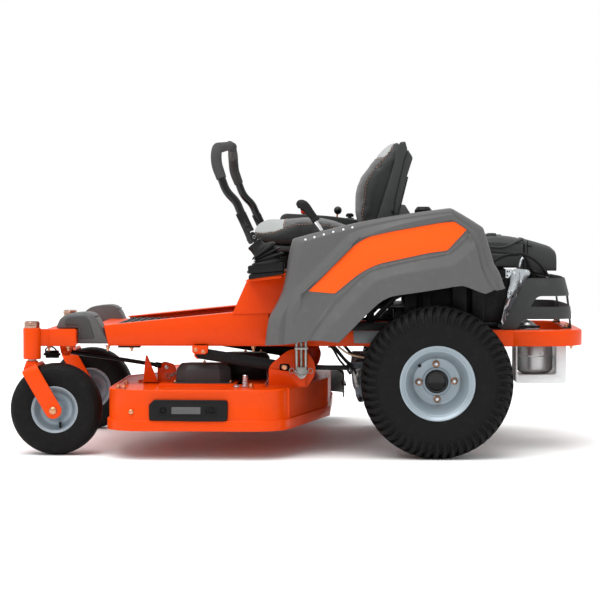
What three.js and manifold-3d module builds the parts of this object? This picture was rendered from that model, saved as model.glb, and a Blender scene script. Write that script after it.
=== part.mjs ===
// A zero turn ride-on mower with a 42 inch side-discharge deck.
// Frame: +X to the mower's left, +Y to its rear, +Z up, millimetres, ground at Z = 0.
// Everything is built about the rear axle on the centreline, and the whole group is then
// shifted so that the origin lies on the ground under the middle of the bounding box.
import * as THREE from 'three';
import { mergeVertices } from 'three/addons/utils/BufferGeometryUtils.js';
import Module from 'manifold-3d';

const wasm = await Module();
wasm.setup();

// ---------- driving dimensions ----------
const GAP = 0.4;                    // clearance between touching pieces

const REAR_TYRE_R = 228.6;          // 18 inch tyre
const REAR_TYRE_HALF_W = 95;
const REAR_RIM_R = 103;
const REAR_X = 425;                 // centre of each rear tyre
const CASTER_TYRE_R = 139.7;        // 11 inch tyre
const CASTER_TYRE_HALF_W = 50;
const CASTER_RIM_R = 65;
const CASTER_X = 386;
const CASTER_PIVOT_Y = -1233;
const CASTER_AXLE_Y = -1158;

const FRAME_Z0 = 328;               // underside of the frame tubes
const FRAME_Z1 = 378;
const RAIL_X0 = 276;
const RAIL_X1 = 326;
const FLOOR_X = 330;                // half width over the floor's side plates
const AXLE_TUBE_X = 372;            // half length of the front cross tube
const AXLE_TUBE_Y0 = -1205;
const AXLE_TUBE_Y1 = -1103;
const BUMPER_X = 326;
const BUMPER_Y = 457;               // rearmost point of the machine

const FENDER_X0 = 258;
const FENDER_X1 = 505;
const FENDER_T = 5;

const DECK_LEFT = 545;
const DECK_RIGHT = -545;
const DECK_TOP = 208;
const DECK_LIP = 88;
const DECK_T = 5;
const SPINDLE_X = 262;
const LEFT_SPINDLE_Y = -717;
const RIGHT_SPINDLE_Y = -622;
const BLADE_HALF = 264;
const BLADE_Z = 100;
const PULLEY_R = 45;
const COVER_HALF_W = 52;
const COVER_HALF_L = 84;
const COVER_TOP = 271;
const DEFLECTOR_OUT = -802;
const DEFLECTOR_FRONT = -705;
const DEFLECTOR_REAR = -292;
const MUFFLER = [150, 316];          // plan position
const MUFFLER_R = 58;

const BAR_X = 408;                  // control bar pivots, each side
const SEAT_PIVOT = [-540, 596];
const LEVER_PIVOT = [-260, 398];
const LIFT_ARM = 146;               // lift shaft to the deck's hangers
const HANGER_X = 380;
const SIDE_ARM_X = 337;
const SIDE_ARM_PIVOT = [-720, 306];
const SIDE_ARM_PIN = [-462, 265];
const FRONT_LINK_X = 236;
const FRONT_LINK_PIVOT = [-1150, 305];
const FRONT_LINK_END = [-858, 262];
const HUB_PIVOT = [-526, 566];
const BAR_LEAN = 18.4;              // degrees, of the bars' lower part

const SKIRT = 5;                     // the deck's lip stands proud of its wall by this
const FRONT_Y = CASTER_AXLE_Y - CASTER_TYRE_R;
const CENTRE_X = (DECK_LEFT + SKIRT + DEFLECTOR_OUT) / 2;
const CENTRE_Y = (FRONT_Y + BUMPER_Y) / 2;

// ---------- finishes ----------
const paint = { color: '#f0500f', roughness: 0.32, metalness: 0.1 };
const greyPlastic = { color: '#5f6061', roughness: 0.6, metalness: 0 };
const charcoal = { color: '#2b2c2d', roughness: 0.55, metalness: 0 };
const black = { color: '#161616', roughness: 0.5, metalness: 0.2 };
const rubber = { color: '#1d1d1d', roughness: 0.85, metalness: 0 };
const silver = { color: '#8b959b', roughness: 0.4, metalness: 0.7 };
const alloy = { color: '#a9adb0', roughness: 0.45, metalness: 0.9 };
const casting = { color: '#6d7276', roughness: 0.6, metalness: 0.4 };
const red = { color: '#c8452a', roughness: 0.5, metalness: 0 };
const vinyl = { color: '#4a4b4d', roughness: 0.6, metalness: 0 };

// ---------- geometry helpers ----------
const mower = new THREE.Group();

function part(name, geometry, finish, parent = mower) {
  const mesh = new THREE.Mesh(geometry, new THREE.MeshStandardMaterial(finish));
  mesh.name = name;
  parent.add(mesh);
  return mesh;
}

function signedVolume(position, index) {
  const a = new THREE.Vector3();
  const b = new THREE.Vector3();
  const c = new THREE.Vector3();
  let sum = 0;
  for (let i = 0; i < index.length; i += 3) {
    a.fromBufferAttribute(position, index[i]);
    b.fromBufferAttribute(position, index[i + 1]);
    c.fromBufferAttribute(position, index[i + 2]);
    sum += a.dot(b.cross(c));
  }
  return sum / 6;
}

// one closed solid, its shared corners merged and its faces pointing out
function solid(geometry) {
  geometry.deleteAttribute('normal');
  geometry.deleteAttribute('uv');
  const merged = mergeVertices(geometry, 1e-3);
  const source = merged.index.array;
  const triangles = [];
  for (let i = 0; i < source.length; i += 3) {
    const [a, b, c] = [source[i], source[i + 1], source[i + 2]];
    if (a !== b && b !== c && c !== a) triangles.push(a, b, c);
  }
  if (signedVolume(merged.attributes.position, triangles) < 0) triangles.reverse();
  return new wasm.Manifold(new wasm.Mesh({
    numProp: 3,
    vertProperties: new Float32Array(merged.attributes.position.array),
    triVerts: new Uint32Array(triangles),
  }));
}

function geometryOf(manifold) {
  const mesh = manifold.getMesh();
  const geometry = new THREE.BufferGeometry();
  geometry.setAttribute('position', new THREE.BufferAttribute(mesh.vertProperties, 3));
  geometry.setIndex(new THREE.BufferAttribute(mesh.triVerts, 1));
  geometry.computeVertexNormals();
  return geometry;
}

const join = (...solids) => solids.reduce((sum, next) => sum.add(next));
const cut = (body, ...tools) => tools.reduce((left, tool) => left.subtract(tool), body);

function box(x0, x1, y0, y1, z0, z1) {
  const geometry = new THREE.BoxGeometry(x1 - x0, y1 - y0, z1 - z0);
  geometry.translate((x0 + x1) / 2, (y0 + y1) / 2, (z0 + z1) / 2);
  return solid(geometry);
}

function extrude(outline, depth, holes = [], curveSegments = 6) {
  const shape = outline instanceof THREE.Shape
    ? outline : new THREE.Shape(outline.map(([x, y]) => new THREE.Vector2(x, y)));
  for (const hole of holes) {
    shape.holes.push(new THREE.Path(hole.map(([x, y]) => new THREE.Vector2(x, y))));
  }
  return new THREE.ExtrudeGeometry(shape, { depth, bevelEnabled: false, curveSegments });
}

const basis = (x, y, z) => new THREE.Matrix4().makeBasis(
  new THREE.Vector3(...x), new THREE.Vector3(...y), new THREE.Vector3(...z));
const ALONG_X = basis([0, 1, 0], [0, 0, 1], [1, 0, 0]);    // outline in (y, z)
const ALONG_Y = basis([1, 0, 0], [0, 0, 1], [0, 1, 0]);    // outline in (x, z)

// an outline in the (y, z) plane, pushed from x0 to x1
function prismX(outline, x0, x1, holes) {
  const geometry = extrude(outline, x1 - x0, holes).applyMatrix4(ALONG_X);
  geometry.translate(x0, 0, 0);
  return solid(geometry);
}

// an outline in the (x, z) plane, pushed from y0 to y1
function prismY(outline, y0, y1, holes) {
  const geometry = extrude(outline, y1 - y0, holes).applyMatrix4(ALONG_Y);
  geometry.translate(0, y0, 0);
  return solid(geometry);
}

// an outline in the (x, y) plane, pushed from z0 to z1
function prismZ(outline, z0, z1, holes) {
  const geometry = extrude(outline, z1 - z0, holes);
  geometry.translate(0, 0, z0);
  return solid(geometry);
}

function cylinder(axis, at, length, radius, sides = 16, topRadius = radius) {
  const geometry = new THREE.CylinderGeometry(topRadius, radius, length, sides);
  if (axis === 'x') geometry.rotateZ(-Math.PI / 2);
  if (axis === 'z') geometry.rotateX(Math.PI / 2);
  geometry.translate(...at);
  return solid(geometry);
}

// a round section swept along straight stretches with rounded corners
function pipe(points, radius, sides = 8, corner = 30, cornerSteps = 4) {
  const route = [];
  const knots = points.map((p) => new THREE.Vector3(...p));
  knots.forEach((knot, i) => {
    if (i === 0 || i === knots.length - 1) {
      route.push(knot);
      return;
    }
    const back = knots[i - 1].clone().sub(knot);
    const ahead = knots[i + 1].clone().sub(knot);
    const reach = Math.min(corner, back.length() * 0.45, ahead.length() * 0.45);
    const bend = new THREE.QuadraticBezierCurve3(
      knot.clone().addScaledVector(back.normalize(), reach), knot,
      knot.clone().addScaledVector(ahead.normalize(), reach));
    route.push(...bend.getPoints(cornerSteps));
  });
  return solid(sweep(route, radius, sides));
}

// rings of a round section, each square to the bisector of its neighbours, with flat ends
function sweep(route, radius, sides) {
  const positions = [];
  const index = [];
  let side = new THREE.Vector3(1, 0, 0);
  route.forEach((point, i) => {
    const before = route[Math.max(i - 1, 0)];
    const after = route[Math.min(i + 1, route.length - 1)];
    const along = after.clone().sub(before).normalize();
    if (i === 0 && Math.abs(along.x) > 0.9) side = new THREE.Vector3(0, 0, 1);
    side = side.addScaledVector(along, -side.dot(along)).normalize();
    const up = along.clone().cross(side);
    for (let s = 0; s < sides; s += 1) {
      const angle = (s / sides) * 2 * Math.PI;
      const corner = point.clone()
        .addScaledVector(side, radius * Math.cos(angle))
        .addScaledVector(up, radius * Math.sin(angle));
      positions.push(corner.x, corner.y, corner.z);
    }
  });
  const last = (route.length - 1) * sides;
  for (let s = 0; s < sides; s += 1) {
    const t = (s + 1) % sides;
    for (let ring = 0; ring < last; ring += sides) {
      index.push(ring + s, ring + t, ring + sides + s);
      index.push(ring + t, ring + sides + t, ring + sides + s);
    }
    if (s > 0 && t > 0) {
      index.push(0, t, s);
      index.push(last, last + s, last + t);
    }
  }
  const geometry = new THREE.BufferGeometry();
  geometry.setAttribute('position', new THREE.Float32BufferAttribute(positions, 3));
  geometry.setIndex(index);
  return geometry;
}

// a closed profile of [along, radius] pairs turned about the X axis, a flat facet lowest
function turned(profile, sides) {
  const points = [...profile, profile[0]].map(([along, radius]) => new THREE.Vector2(radius, along));
  const geometry = new THREE.LatheGeometry(points, sides, Math.PI / sides, 2 * Math.PI);
  geometry.rotateZ(-Math.PI / 2);
  return solid(geometry);
}

// the same solid on the other side of the centreline
const mirrored = (body) => body.mirror([1, 0, 0]);

// both hands of a piece that is built on the left
function pair(name, body, finish, parent = mower) {
  part(`left_${name}`, geometryOf(body), finish, parent);
  part(`right_${name}`, geometryOf(mirrored(body)), finish, parent);
}

// points of an arc, in degrees
function arc(cx, cy, radius, from, to, steps) {
  return Array.from({ length: steps + 1 }, (_, i) => {
    const angle = THREE.MathUtils.degToRad(from + ((to - from) * i) / steps);
    return [cx + radius * Math.cos(angle), cy + radius * Math.sin(angle)];
  });
}

// an open line of points moved sideways by a distance, to the right of its direction
function offset(line, distance) {
  return line.map((point, i) => {
    const a = line[Math.max(i - 1, 0)];
    const b = line[Math.min(i + 1, line.length - 1)];
    const length = Math.hypot(b[0] - a[0], b[1] - a[1]);
    return [point[0] + (distance * (b[1] - a[1])) / length,
      point[1] - (distance * (b[0] - a[0])) / length];
  });
}

// ---------- wheels ----------
function tyre(radius, halfWidth, rimRadius, sides) {
  const crown = radius / Math.cos(Math.PI / sides);
  const bead = halfWidth * 0.82;
  const wall = 14;
  const seat = rimRadius + 3 * GAP;
  return turned([
    [bead, seat], [bead, rimRadius + 12], [halfWidth, rimRadius + (crown - rimRadius) * 0.42],
    [halfWidth * 0.96, crown - 22], [halfWidth * 0.72, crown - 4],
    [halfWidth * 0.3, crown], [-halfWidth * 0.3, crown], [-halfWidth * 0.72, crown - 4],
    [-halfWidth * 0.96, crown - 22], [-halfWidth, rimRadius + (crown - rimRadius) * 0.42],
    [-bead, rimRadius + 12], [-bead, seat], [-bead + wall, seat],
    [-halfWidth * 0.78, crown - wall - 16], [halfWidth * 0.78, crown - wall - 16],
    [bead - wall, seat],
  ], sides);
}

function rearRim() {
  const bead = REAR_TYRE_HALF_W * 0.82 + GAP;
  const flange = REAR_RIM_R + 10;
  const dish = turned([
    [30, 0], [30, 30], [9, 34], [6, 58], [16, 88], [bead - 8, 96], [bead + 4, REAR_RIM_R],
    [bead + 4, flange], [bead, flange], [bead, REAR_RIM_R],
    [-bead, REAR_RIM_R], [-bead, flange], [-bead - 4, flange], [-bead - 4, REAR_RIM_R - 2],
    [4, 88], [-4, 58], [-6, 16], [-118, 16], [-118, 0],
  ], 20);
  const lugs = [0, 1, 2, 3].map((i) => {
    const angle = Math.PI / 4 + (i * Math.PI) / 2;
    return cylinder('x', [13, 50 * Math.cos(angle), 50 * Math.sin(angle)], 16, 10, 6);
  });
  return join(dish, ...lugs);
}

function casterRim() {
  const bead = CASTER_TYRE_HALF_W * 0.82 + GAP;
  const flange = CASTER_RIM_R + 6;
  return turned([
    [58, 15], [58, 24], [30, 28], [10, 42], [16, 56], [bead + 3, CASTER_RIM_R - 3],
    [bead + 3, flange], [bead, flange], [bead, CASTER_RIM_R],
    [-bead, CASTER_RIM_R], [-bead, flange], [-bead - 3, flange], [-bead - 3, CASTER_RIM_R - 3],
    [-16, 56], [-10, 42], [-30, 28], [-58, 24], [-58, 15],
  ], 18);
}

const REAR_SIDES = 28;                // multiples of four, so the sizes are true across flats
const CASTER_SIDES = 24;
for (const [side, name] of [[1, 'left'], [-1, 'right']]) {
  const wheel = new THREE.Group();
  wheel.position.set(side * REAR_X, 0, REAR_TYRE_R);
  mower.add(wheel);
  part(`${name}_rear_tyre`, geometryOf(tyre(REAR_TYRE_R, REAR_TYRE_HALF_W, REAR_RIM_R, REAR_SIDES)),
    rubber, wheel);
  const rim = side > 0 ? rearRim() : mirrored(rearRim());
  part(`${name}_rear_rim`, geometryOf(rim), silver, wheel);
}

// The fork is a flat bar bent into a U and leaned back, welded to an upright stem.
// Its stem turns in the caster tube and carries the bright cap nut; its bolt is the axle.
function casterFork() {
  const lean = new THREE.Vector2(CASTER_PIVOT_Y - CASTER_AXLE_Y, 130).normalize();
  const across = new THREE.Vector2(lean.y, -lean.x);
  const halfWidth = 25;
  const at = (up, side) => [
    CASTER_AXLE_Y - CASTER_PIVOT_Y + lean.x * up + across.x * side,
    CASTER_TYRE_R + lean.y * up + across.y * side];
  const start = THREE.MathUtils.radToDeg(Math.atan2(across.y, across.x));
  const end = arc(...at(0, 0), halfWidth, start, start - 180, 6);
  const strap = prismX([at(154, halfWidth), ...end, at(154, -halfWidth)], -74, 74);
  const inside = prismX([at(146, 60), at(-60, 60), at(-60, -60), at(146, -60)], -65, 65);
  const collar = cylinder('z', [0, 0, 270], 34, 20);
  const stem = cylinder('z', [0, 0, 340], 110, 14);
  const cap = cylinder('z', [0, 0, 398], 21, 23.5, 20);
  const axle = cylinder('x', [0, CASTER_AXLE_Y - CASTER_PIVOT_Y, CASTER_TYRE_R], 164, 12);
  return join(cut(join(strap, collar), inside), stem, cap, axle);
}

for (const [side, name] of [[1, 'left'], [-1, 'right']]) {
  const caster = new THREE.Group();
  caster.position.set(side * CASTER_X, CASTER_PIVOT_Y, 0);
  mower.add(caster);
  part(`${name}_caster_fork`, geometryOf(casterFork()), paint, caster);
  const wheel = new THREE.Group();
  wheel.position.set(0, CASTER_AXLE_Y - CASTER_PIVOT_Y, CASTER_TYRE_R);
  caster.add(wheel);
  part(`${name}_caster_tyre`,
    geometryOf(tyre(CASTER_TYRE_R, CASTER_TYRE_HALF_W, CASTER_RIM_R, CASTER_SIDES)), rubber, wheel);
  part(`${name}_caster_rim`, geometryOf(casterRim()), silver, wheel);
}

// ---------- frame ----------
// side plate of the floor: low at the front, rising to the seat box, and the tube behind it
const railOutline = [
  [-1018, FRAME_Z0 + 2], [-1030, 392], [-620, 432], [-508, 432], [-508, FRAME_Z1],
  [238, FRAME_Z1], [238, FRAME_Z0], [-508, FRAME_Z0 + 2],
];
const armBracket = cut(
  prismX([[-742, 335], [-742, 296], [-734, 288], [-706, 288], [-698, 296], [-698, 335]], 320, 326),
  cylinder('x', [323, ...SIDE_ARM_PIVOT], 10, 9, 12));
const shaftLug = cut(join(cylinder('x', [300, ...LEVER_PIVOT], 8, 22, 12),
  box(296, 304, LEVER_PIVOT[0] - 22, LEVER_PIVOT[0] + 22, 370, LEVER_PIVOT[1])),
cylinder('x', [300, ...LEVER_PIVOT], 12, 12, 16));
const railHollow = box(RAIL_X0 + 3, RAIL_X1 - 3, -1100, 300, FRAME_Z0 + 5, FRAME_Z1 - 3);
const rail = cut(prismX(railOutline, RAIL_X0, RAIL_X1), railHollow);
pair('frame_rail', join(rail, armBracket, shaftLug), paint);

// cross tube with the two caster tubes welded to its front face and a lug for the front link
const casterPosts = (length, radius) => [1, -1].map((side) =>
  cylinder('z', [side * CASTER_X, CASTER_PIVOT_Y, 338.5], length, radius, 20));
const casterTubes = casterPosts(95, 27);
const casterBores = casterPosts(99, 17);
const axleTube = join(box(-AXLE_TUBE_X, AXLE_TUBE_X, AXLE_TUBE_Y0, AXLE_TUBE_Y1, 331, 380),
  ...[1, -1].map((side) => box(Math.min(side * 345, side * 400), Math.max(side * 345, side * 400),
    CASTER_PIVOT_Y + 5, AXLE_TUBE_Y0 + 20, 331, 380)));
const linkLugs = [-13, 13].map((x) => prismX(
  [[-1172, 333], [-1162, 296], [-1156, 292], [-1144, 292], [-1138, 296], [-1128, 333]],
  FRONT_LINK_X + x - 3, FRONT_LINK_X + x + 3));
const linkBolt = cylinder('x', [FRONT_LINK_X, ...FRONT_LINK_PIVOT], 44, 5, 10);
part('front_axle_beam', geometryOf(join(cut(join(axleTube, ...casterTubes, ...linkLugs),
  box(-AXLE_TUBE_X + 60, AXLE_TUBE_X + 5, AXLE_TUBE_Y0 + 4, AXLE_TUBE_Y1 - 4, 335, 376),
  ...casterBores), linkBolt)), paint);

// moulded foot rests at the front corners of the floor
const footrest = prismX([
  [-1172, 382], [-1158, 404], [-1142, 420], [-1108, 430], [-1068, 430], [-1052, 422],
  [-1040, 404], [-1024, 340], [-1102.6, 340], [-1102.6, 382],
], 232, FLOOR_X - 1);
const footrestHollow = prismX([
  [-1150, 375], [-1150, 400], [-1134, 414], [-1106, 424], [-1070, 424], [-1058, 417],
  [-1047, 402], [-1033, 330], [-1098, 330], [-1098, 375],
], 237, FLOOR_X - 6);
pair('footrest', cut(footrest, footrestHollow), greyPlastic);

const floorEdge = RAIL_X0 - GAP;
const floorPan = prismX([[-1100, 346], [-1100, 378], [-1072, 396], [-1034, 384], [-640, 384],
  [-640, 380], [-1035, 380], [-1072, 391], [-1096, 376], [-1096, 346]], -floorEdge, floorEdge);
part('floor_pan', geometryOf(cut(floorPan,
  ...[1, -1].map((side) => box(Math.min(side * 231, side * 400), Math.max(side * 231, side * 400),
    -1200, -1022, 300, 460)))), paint);
// seat box: a bent panel that rises from the floor and carries the seat
const seatBoxOutline = [[-622, 432 + GAP], [-578, 531], [-568, 538], [-462, 550], [-300, 552],
  [-300, 432 + GAP]];
const seatBoxInside = [[-614, 420], [-574, 527], [-566, 533], [-462, 545], [-290, 547], [-290, 420]];
const seatBoxWing = prismX([[-578, 531], [-568, 538], [-466, 549.5], [-466, 541], [-566, 529]], -440, 440);
const seatLugs = [1, -1].map((side) => cut(
  prismX([[-562, 536], [-556, 600], [-546, 608], [-534, 608], [-524, 600], [-518, 542]],
    side * 150 - 3, side * 150 + 3),
  cylinder('x', [side * 150, ...SEAT_PIVOT], 12, 8, 12)));
part('seat_box', geometryOf(join(cut(join(prismX(seatBoxOutline, -FLOOR_X, FLOOR_X), seatBoxWing),
  prismX(seatBoxInside, -FLOOR_X + 4, FLOOR_X - 4)), ...seatLugs)), paint);

// black rear subframe: shelf on four uprights over the rails' cross bar, and the engine plate
const uprights = [1, -1].flatMap((side) => [-200, -110].map((y) =>
  box(side > 0 ? 226 : -252, side > 0 ? 252 : -226, y - 12, y + 12, 366, 443)));
const sidePlates = [1, -1].map((side) =>
  box(side > 0 ? 248 : -275, side > 0 ? 275 : -248, -296, 236, 366, 372));
const subframe = join(box(-252, 252, -296, -90, 440, 446), ...uprights, ...sidePlates,
  box(-275, 275, 10, 236, 366, 372), box(-275, 275, -212, -188, 366, 372));
part('rear_subframe', geometryOf(cut(subframe, cylinder('z', [0, 130, 369], 20, 40, 20))), black);

// orange rear bumper: a flat loop with round corners
const bumperOuter = [[BUMPER_X, 238 + GAP], ...arc(BUMPER_X - 110, BUMPER_Y - 110, 110, 0, 90, 6),
  ...arc(-BUMPER_X + 110, BUMPER_Y - 110, 110, 90, 180, 6), [-BUMPER_X, 238 + GAP]];
const bumperInner = [[-BUMPER_X + 8, 200], ...arc(-BUMPER_X + 110, BUMPER_Y - 110, 102, 180, 90, 6),
  ...arc(BUMPER_X - 110, BUMPER_Y - 110, 102, 90, 0, 6), [BUMPER_X - 8, 200]];
const bumperTopInner = [[-BUMPER_X + 48, 200], ...arc(-BUMPER_X + 118, BUMPER_Y - 118, 70, 180, 90, 5),
  ...arc(BUMPER_X - 118, BUMPER_Y - 118, 70, 90, 0, 5), [BUMPER_X - 48, 200]];
const bumper = cut(prismZ(bumperOuter, FRAME_Z0, FRAME_Z1),
  prismZ(bumperInner, FRAME_Z0 - 5, FRAME_Z1 - 4), prismZ(bumperTopInner, FRAME_Z1 - 10, FRAME_Z1 + 5));
part('rear_bumper', geometryOf(bumper), paint);

// ---------- fenders ----------
// crown: front foot, up the nose, over the top and down the tail; arch: the edge over the tyre
const fenderCrown = [
  [-506, 341], [-503, 411], [-497, 446], [-464, 507], [-452, 561], [-445, 611], [-438, 660],
  [-280, 696], [-125, 731], [-24, 744], [50, 753], [134, 690], [145, 676], [166, 583], [186, 563],
  [200, 530], [200, 509],
];
const fenderArch = [[138, 497], [74, 519], [-113, 492], [-157, 480], [-177, 466], [-233, 413], [-294, 350]];
const fenderOutline = [...fenderCrown, ...fenderArch];
const fenderInside = [...offset(fenderCrown, FENDER_T),
  ...fenderArch.map(([y, z]) => [y, z - 90])];
const LEVER_X = 409;
const fenderSlot = box(LEVER_X - 9, LEVER_X + 9, -409, -244, 640, 730);
function fender() {
  return cut(prismX(fenderOutline, FENDER_X0, FENDER_X1),
    prismX(fenderInside, FENDER_X0 + FENDER_T, FENDER_X1 - FENDER_T),
    box(200, FLOOR_X + 2, -700, -298, 200, 562),
    box(200, RAIL_X1 + 2, -300, 400, 200, 470),
    box(200, FENDER_X0 + 40, -250, 400, 200, 600));
}
part('left_fender', geometryOf(cut(fender(), fenderSlot)), greyPlastic);
const tankNeckHole = cylinder('z', [-330, -21, 735], 60, 32);
const consoleHole = box(-440, -290, -420, -290, 640, 730);
part('right_fender', geometryOf(cut(mirrored(fender()), tankNeckHole, consoleHole)), greyPlastic);

// control console on top of the right fender
const consoleBody = cut(
  prismX([[-500, 672], [-507, 712], [-500, 732], [-488, 739], [-339, 733], [-240, 719], [-240, 709],
    [-262, 702], [-436, 666]], -470, -290),
  prismX([[-480, 660], [-486, 712], [-482, 730], [-341, 726], [-254, 714], [-292, 694], [-430, 655]],
    -464, -296),
  cylinder('z', [-400, -424, 730], 60, 8),
  box(-404, -396, -345, -295, 700, 760),
  cylinder('z', [-350, -270, 740], 60, 9));
part('control_console', geometryOf(consoleBody), charcoal);

// throttle lever with a ball knob, in its slot
const throttle = join(pipe([[-400, -318, 700], [-400, -312, 742]], 3, 8),
  solid(new THREE.SphereGeometry(13, 12, 8).translate(-400, -311.5, 751)),
  cylinder('x', [-400, -318, 700], 12, 7, 12));
part('throttle_lever', geometryOf(throttle), black);

// pull knob of the blade clutch
part('blade_knob', geometryOf(join(cylinder('z', [-400, -424, 736], 42, 5, 12),
  cylinder('z', [-400, -424, 748], 16, 15, 16, 13))), red);

// ignition key with its barrel
part('ignition_key', geometryOf(join(cylinder('z', [-350, -270, 720.5], 17, 7, 12),
  box(-352, -348, -283, -257, 727, 739))), black);

// ---------- fuel and battery ----------
const tank = join(
  prismX([[-230, 606], [-230, 672], [-110, 700], [40, 712], [80, 700], [100, 640], [100, 606]],
    -480, -302),
  cylinder('z', [-330, -21, 716], 50, 21));
part('fuel_tank', geometryOf(tank), black);
const cap = cut(cylinder('z', [-330, -21, 751], 22, 29, 20), cylinder('z', [-330, -21, 739], 8, 22.5, 20));
part('fuel_cap', geometryOf(cap), black);
part('battery', geometryOf(join(box(-65, 65, -285, -125, 446 + GAP, 566),
  ...[-40, 40].map((x) => box(x - 8, x + 8, -150, -134, 560, 578)))), black);

// ---------- engine ----------
const crankcase = cylinder('z', [0, 130, 470], 190, 118, 20);
const cylinders = [1, -1].map((side) => {
  const geometry = new THREE.BoxGeometry(112, 150, 112);
  geometry.translate(0, 150, 0);
  geometry.rotateZ(THREE.MathUtils.degToRad(-side * 55));
  geometry.translate(0, 120, 480);
  return solid(geometry);
});
const crankshaft = cylinder('z', [0, 130, 350], 120, 14);
const blockTop = box(-252, 252, 140, 290, 550, 700);
part('engine_block', geometryOf(cut(join(crankcase, ...cylinders, crankshaft),
  box(-300, 300, 290, 500, 300, 700), blockTop)), alloy);

// blower housing and air filter cover
part('engine_shroud', geometryOf(cut(
  prismX([[20, 566], [20, 640], [60, 658], [205, 667], [278, 662], [278, 566]], -170, 170),
  prismX([[26, 560], [26, 636], [62, 653], [205, 661], [273, 657], [273, 560]], -164, 164))), charcoal);
part('air_filter_cover', geometryOf(cut(
  prismX([[278 + GAP, 560], [278 + GAP, 660], [370, 626], [384, 614], [386, 556], [330, 548]], -150, 150),
  prismX([[284, 540], [284, 652], [367, 621], [379, 611], [381, 540]], -145, 145))), charcoal);

// muffler, its outlet and the plate that shields it
part('muffler', geometryOf(join(
  cylinder('z', [...MUFFLER, 303], 126, MUFFLER_R, 24),
  cylinder('z', [...MUFFLER, 234], 14, MUFFLER_R - 8, 24, MUFFLER_R - 1),
  cylinder('z', [...MUFFLER, 381], 34, 36, 16),
  cylinder('z', [MUFFLER[0], MUFFLER[1] + 4, 222], 14, 24, 12))), alloy);
const shieldFront = MUFFLER[1] - MUFFLER_R - 6;
const shieldRear = MUFFLER[1] + MUFFLER_R + 36;
part('heat_shield', geometryOf(join(
  box(70, 230, shieldFront, shieldFront + 4, 210, 326),
  box(70, 230, shieldFront, shieldRear, 208, 212),
  box(70, 230, shieldRear - 4, shieldRear, 210, 326))), alloy);

// engine guard: two bands that wrap round the rear, on a leaning strut and two rear posts
function guardBand(z0, z1, rear, lean) {
  const outer = [[302, 200], ...arc(202, rear - 100, 100, 0, 90, 5),
    ...arc(-202, rear - 100, 100, 90, 180, 5), [-302, 200]];
  const inner = [[-298, 190], ...arc(-202, rear - 100, 96, 180, 90, 5),
    ...arc(202, rear - 100, 96, 90, 0, 5), [298, 190]];
  return cut(prismZ(outer, z0, z1), prismZ(inner, z0 - 2, z1 + 2),
    prismX([[100, z0 - 3], [lean, z0 - 3], [lean + 40, z1 + 3], [100, z1 + 3]], -400, 400));
}
const guardStruts = [1, -1].map((side) => prismX(
  [[205, FRAME_Z1 + GAP], [276, 526], [288, 536], [334, 536], [300, 452], [252, FRAME_Z1 + GAP]],
  side > 0 ? 298 : -302, side > 0 ? 302 : -298));
const guardPosts = [1, -1].map((side) => prismX(
  [[421, FRAME_Z1 + GAP], [409, 536], [413, 536], [425, FRAME_Z1 + GAP]],
  side > 0 ? 170 : -200, side > 0 ? 200 : -170));
part('engine_guard', geometryOf(join(guardBand(478, 536, 413, 292), guardBand(404, 448, 421, 262),
  ...guardStruts, ...guardPosts)), charcoal);

// hydrostatic transaxles, one to each rear wheel
const transaxle = cut(join(
  prismX([[-255, 250], [-240, 275], [-120, 290], [60, 285], [85, 230], [60, 165], [-60, 140], [-220, 150],
    [-250, 190]], 110, 235),
  cylinder('x', [265, 0, REAR_TYRE_R], 70, 34, 16),
  cylinder('z', [170, -60, 300], 36, 40, 16)),
cylinder('x', [260, 0, REAR_TYRE_R], 120, 18, 20));
pair('transaxle', transaxle, casting);

// ---------- steering controls ----------
const housing = cut(
  prismX([[-568, 544], [-568, 585], [-556, 597], [-470, 597], [-462, 588], [-462, 557]],
    BAR_X - 42, BAR_X + 42),
  prismX([[-563, 530], [-563, 583], [-554, 592], [-472, 592], [-467, 586], [-467, 530]],
    BAR_X - 37, BAR_X + 37),
  box(BAR_X - 16, BAR_X + 16, -562, -500, 585, 605),
  cylinder('x', [BAR_X, ...HUB_PIVOT], 100, 8, 12));
pair('boot_housing', housing, black);

// pieces of the control bars are laid out with Z along the bar's lower part, then leaned forward
const leaned = (body) => body.rotate([BAR_LEAN, 0, 0]).translate([BAR_X, ...HUB_PIVOT]);
const BAR_PIN_UP = 100;
const hub = join(
  cylinder('x', [0, 0, 0], 92, 6, 12),
  box(-12, 12, 0, 8, -4, 118),
  cylinder('y', [0, -6, BAR_PIN_UP], 20, 6, 12),
  cylinder('y', [0, -14, BAR_PIN_UP], 8, 11, 6));
pair('control_hub', leaned(hub), black);

// rubber bellows round the hub, standing on the housing
const bellows = cut(
  cylinder('z', [BAR_X, -541, 617], 44, 38, 14, 24),
  leaned(box(-14, 14, -2, 10, -10, 200)),
  box(BAR_X - 60, BAR_X + 60, -600, -480, 560, 597 + GAP));
pair('boot', bellows, rubber);

const barRoute = [[0, -566, 687], [0, -577, 716], [-6, -616, 788], [-12, -657, 840], [-18, -677, 888],
  [-25, -678, 912], [-64, -671, 933], [-348, -651, 953]].map(([x, y, z]) => [BAR_X + x, y, z]);
const barPlate = cut(box(-14, 14, -8.5, -GAP, 84, 150), cylinder('y', [0, -4, BAR_PIN_UP], 20, 7.5, 12));
pair('control_bar', join(leaned(barPlate), pipe(barRoute, 12.5, 8, 34, 2)), black);

// foam grip over the bar's top, closed at its inner end
const gripRoute = [...barRoute.slice(4, 7), [BAR_X - 356, -650.4, 953.6]];
const gripStart = [[BAR_X - 15, -667, 864], ...gripRoute];
pair('grip', cut(pipe(gripStart, 16.5, 8, 34, 2), pipe([...barRoute.slice(0, 7), [BAR_X - 350, -650.9, 953.1]],
  13.8, 8, 34, 2)), rubber);

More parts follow.
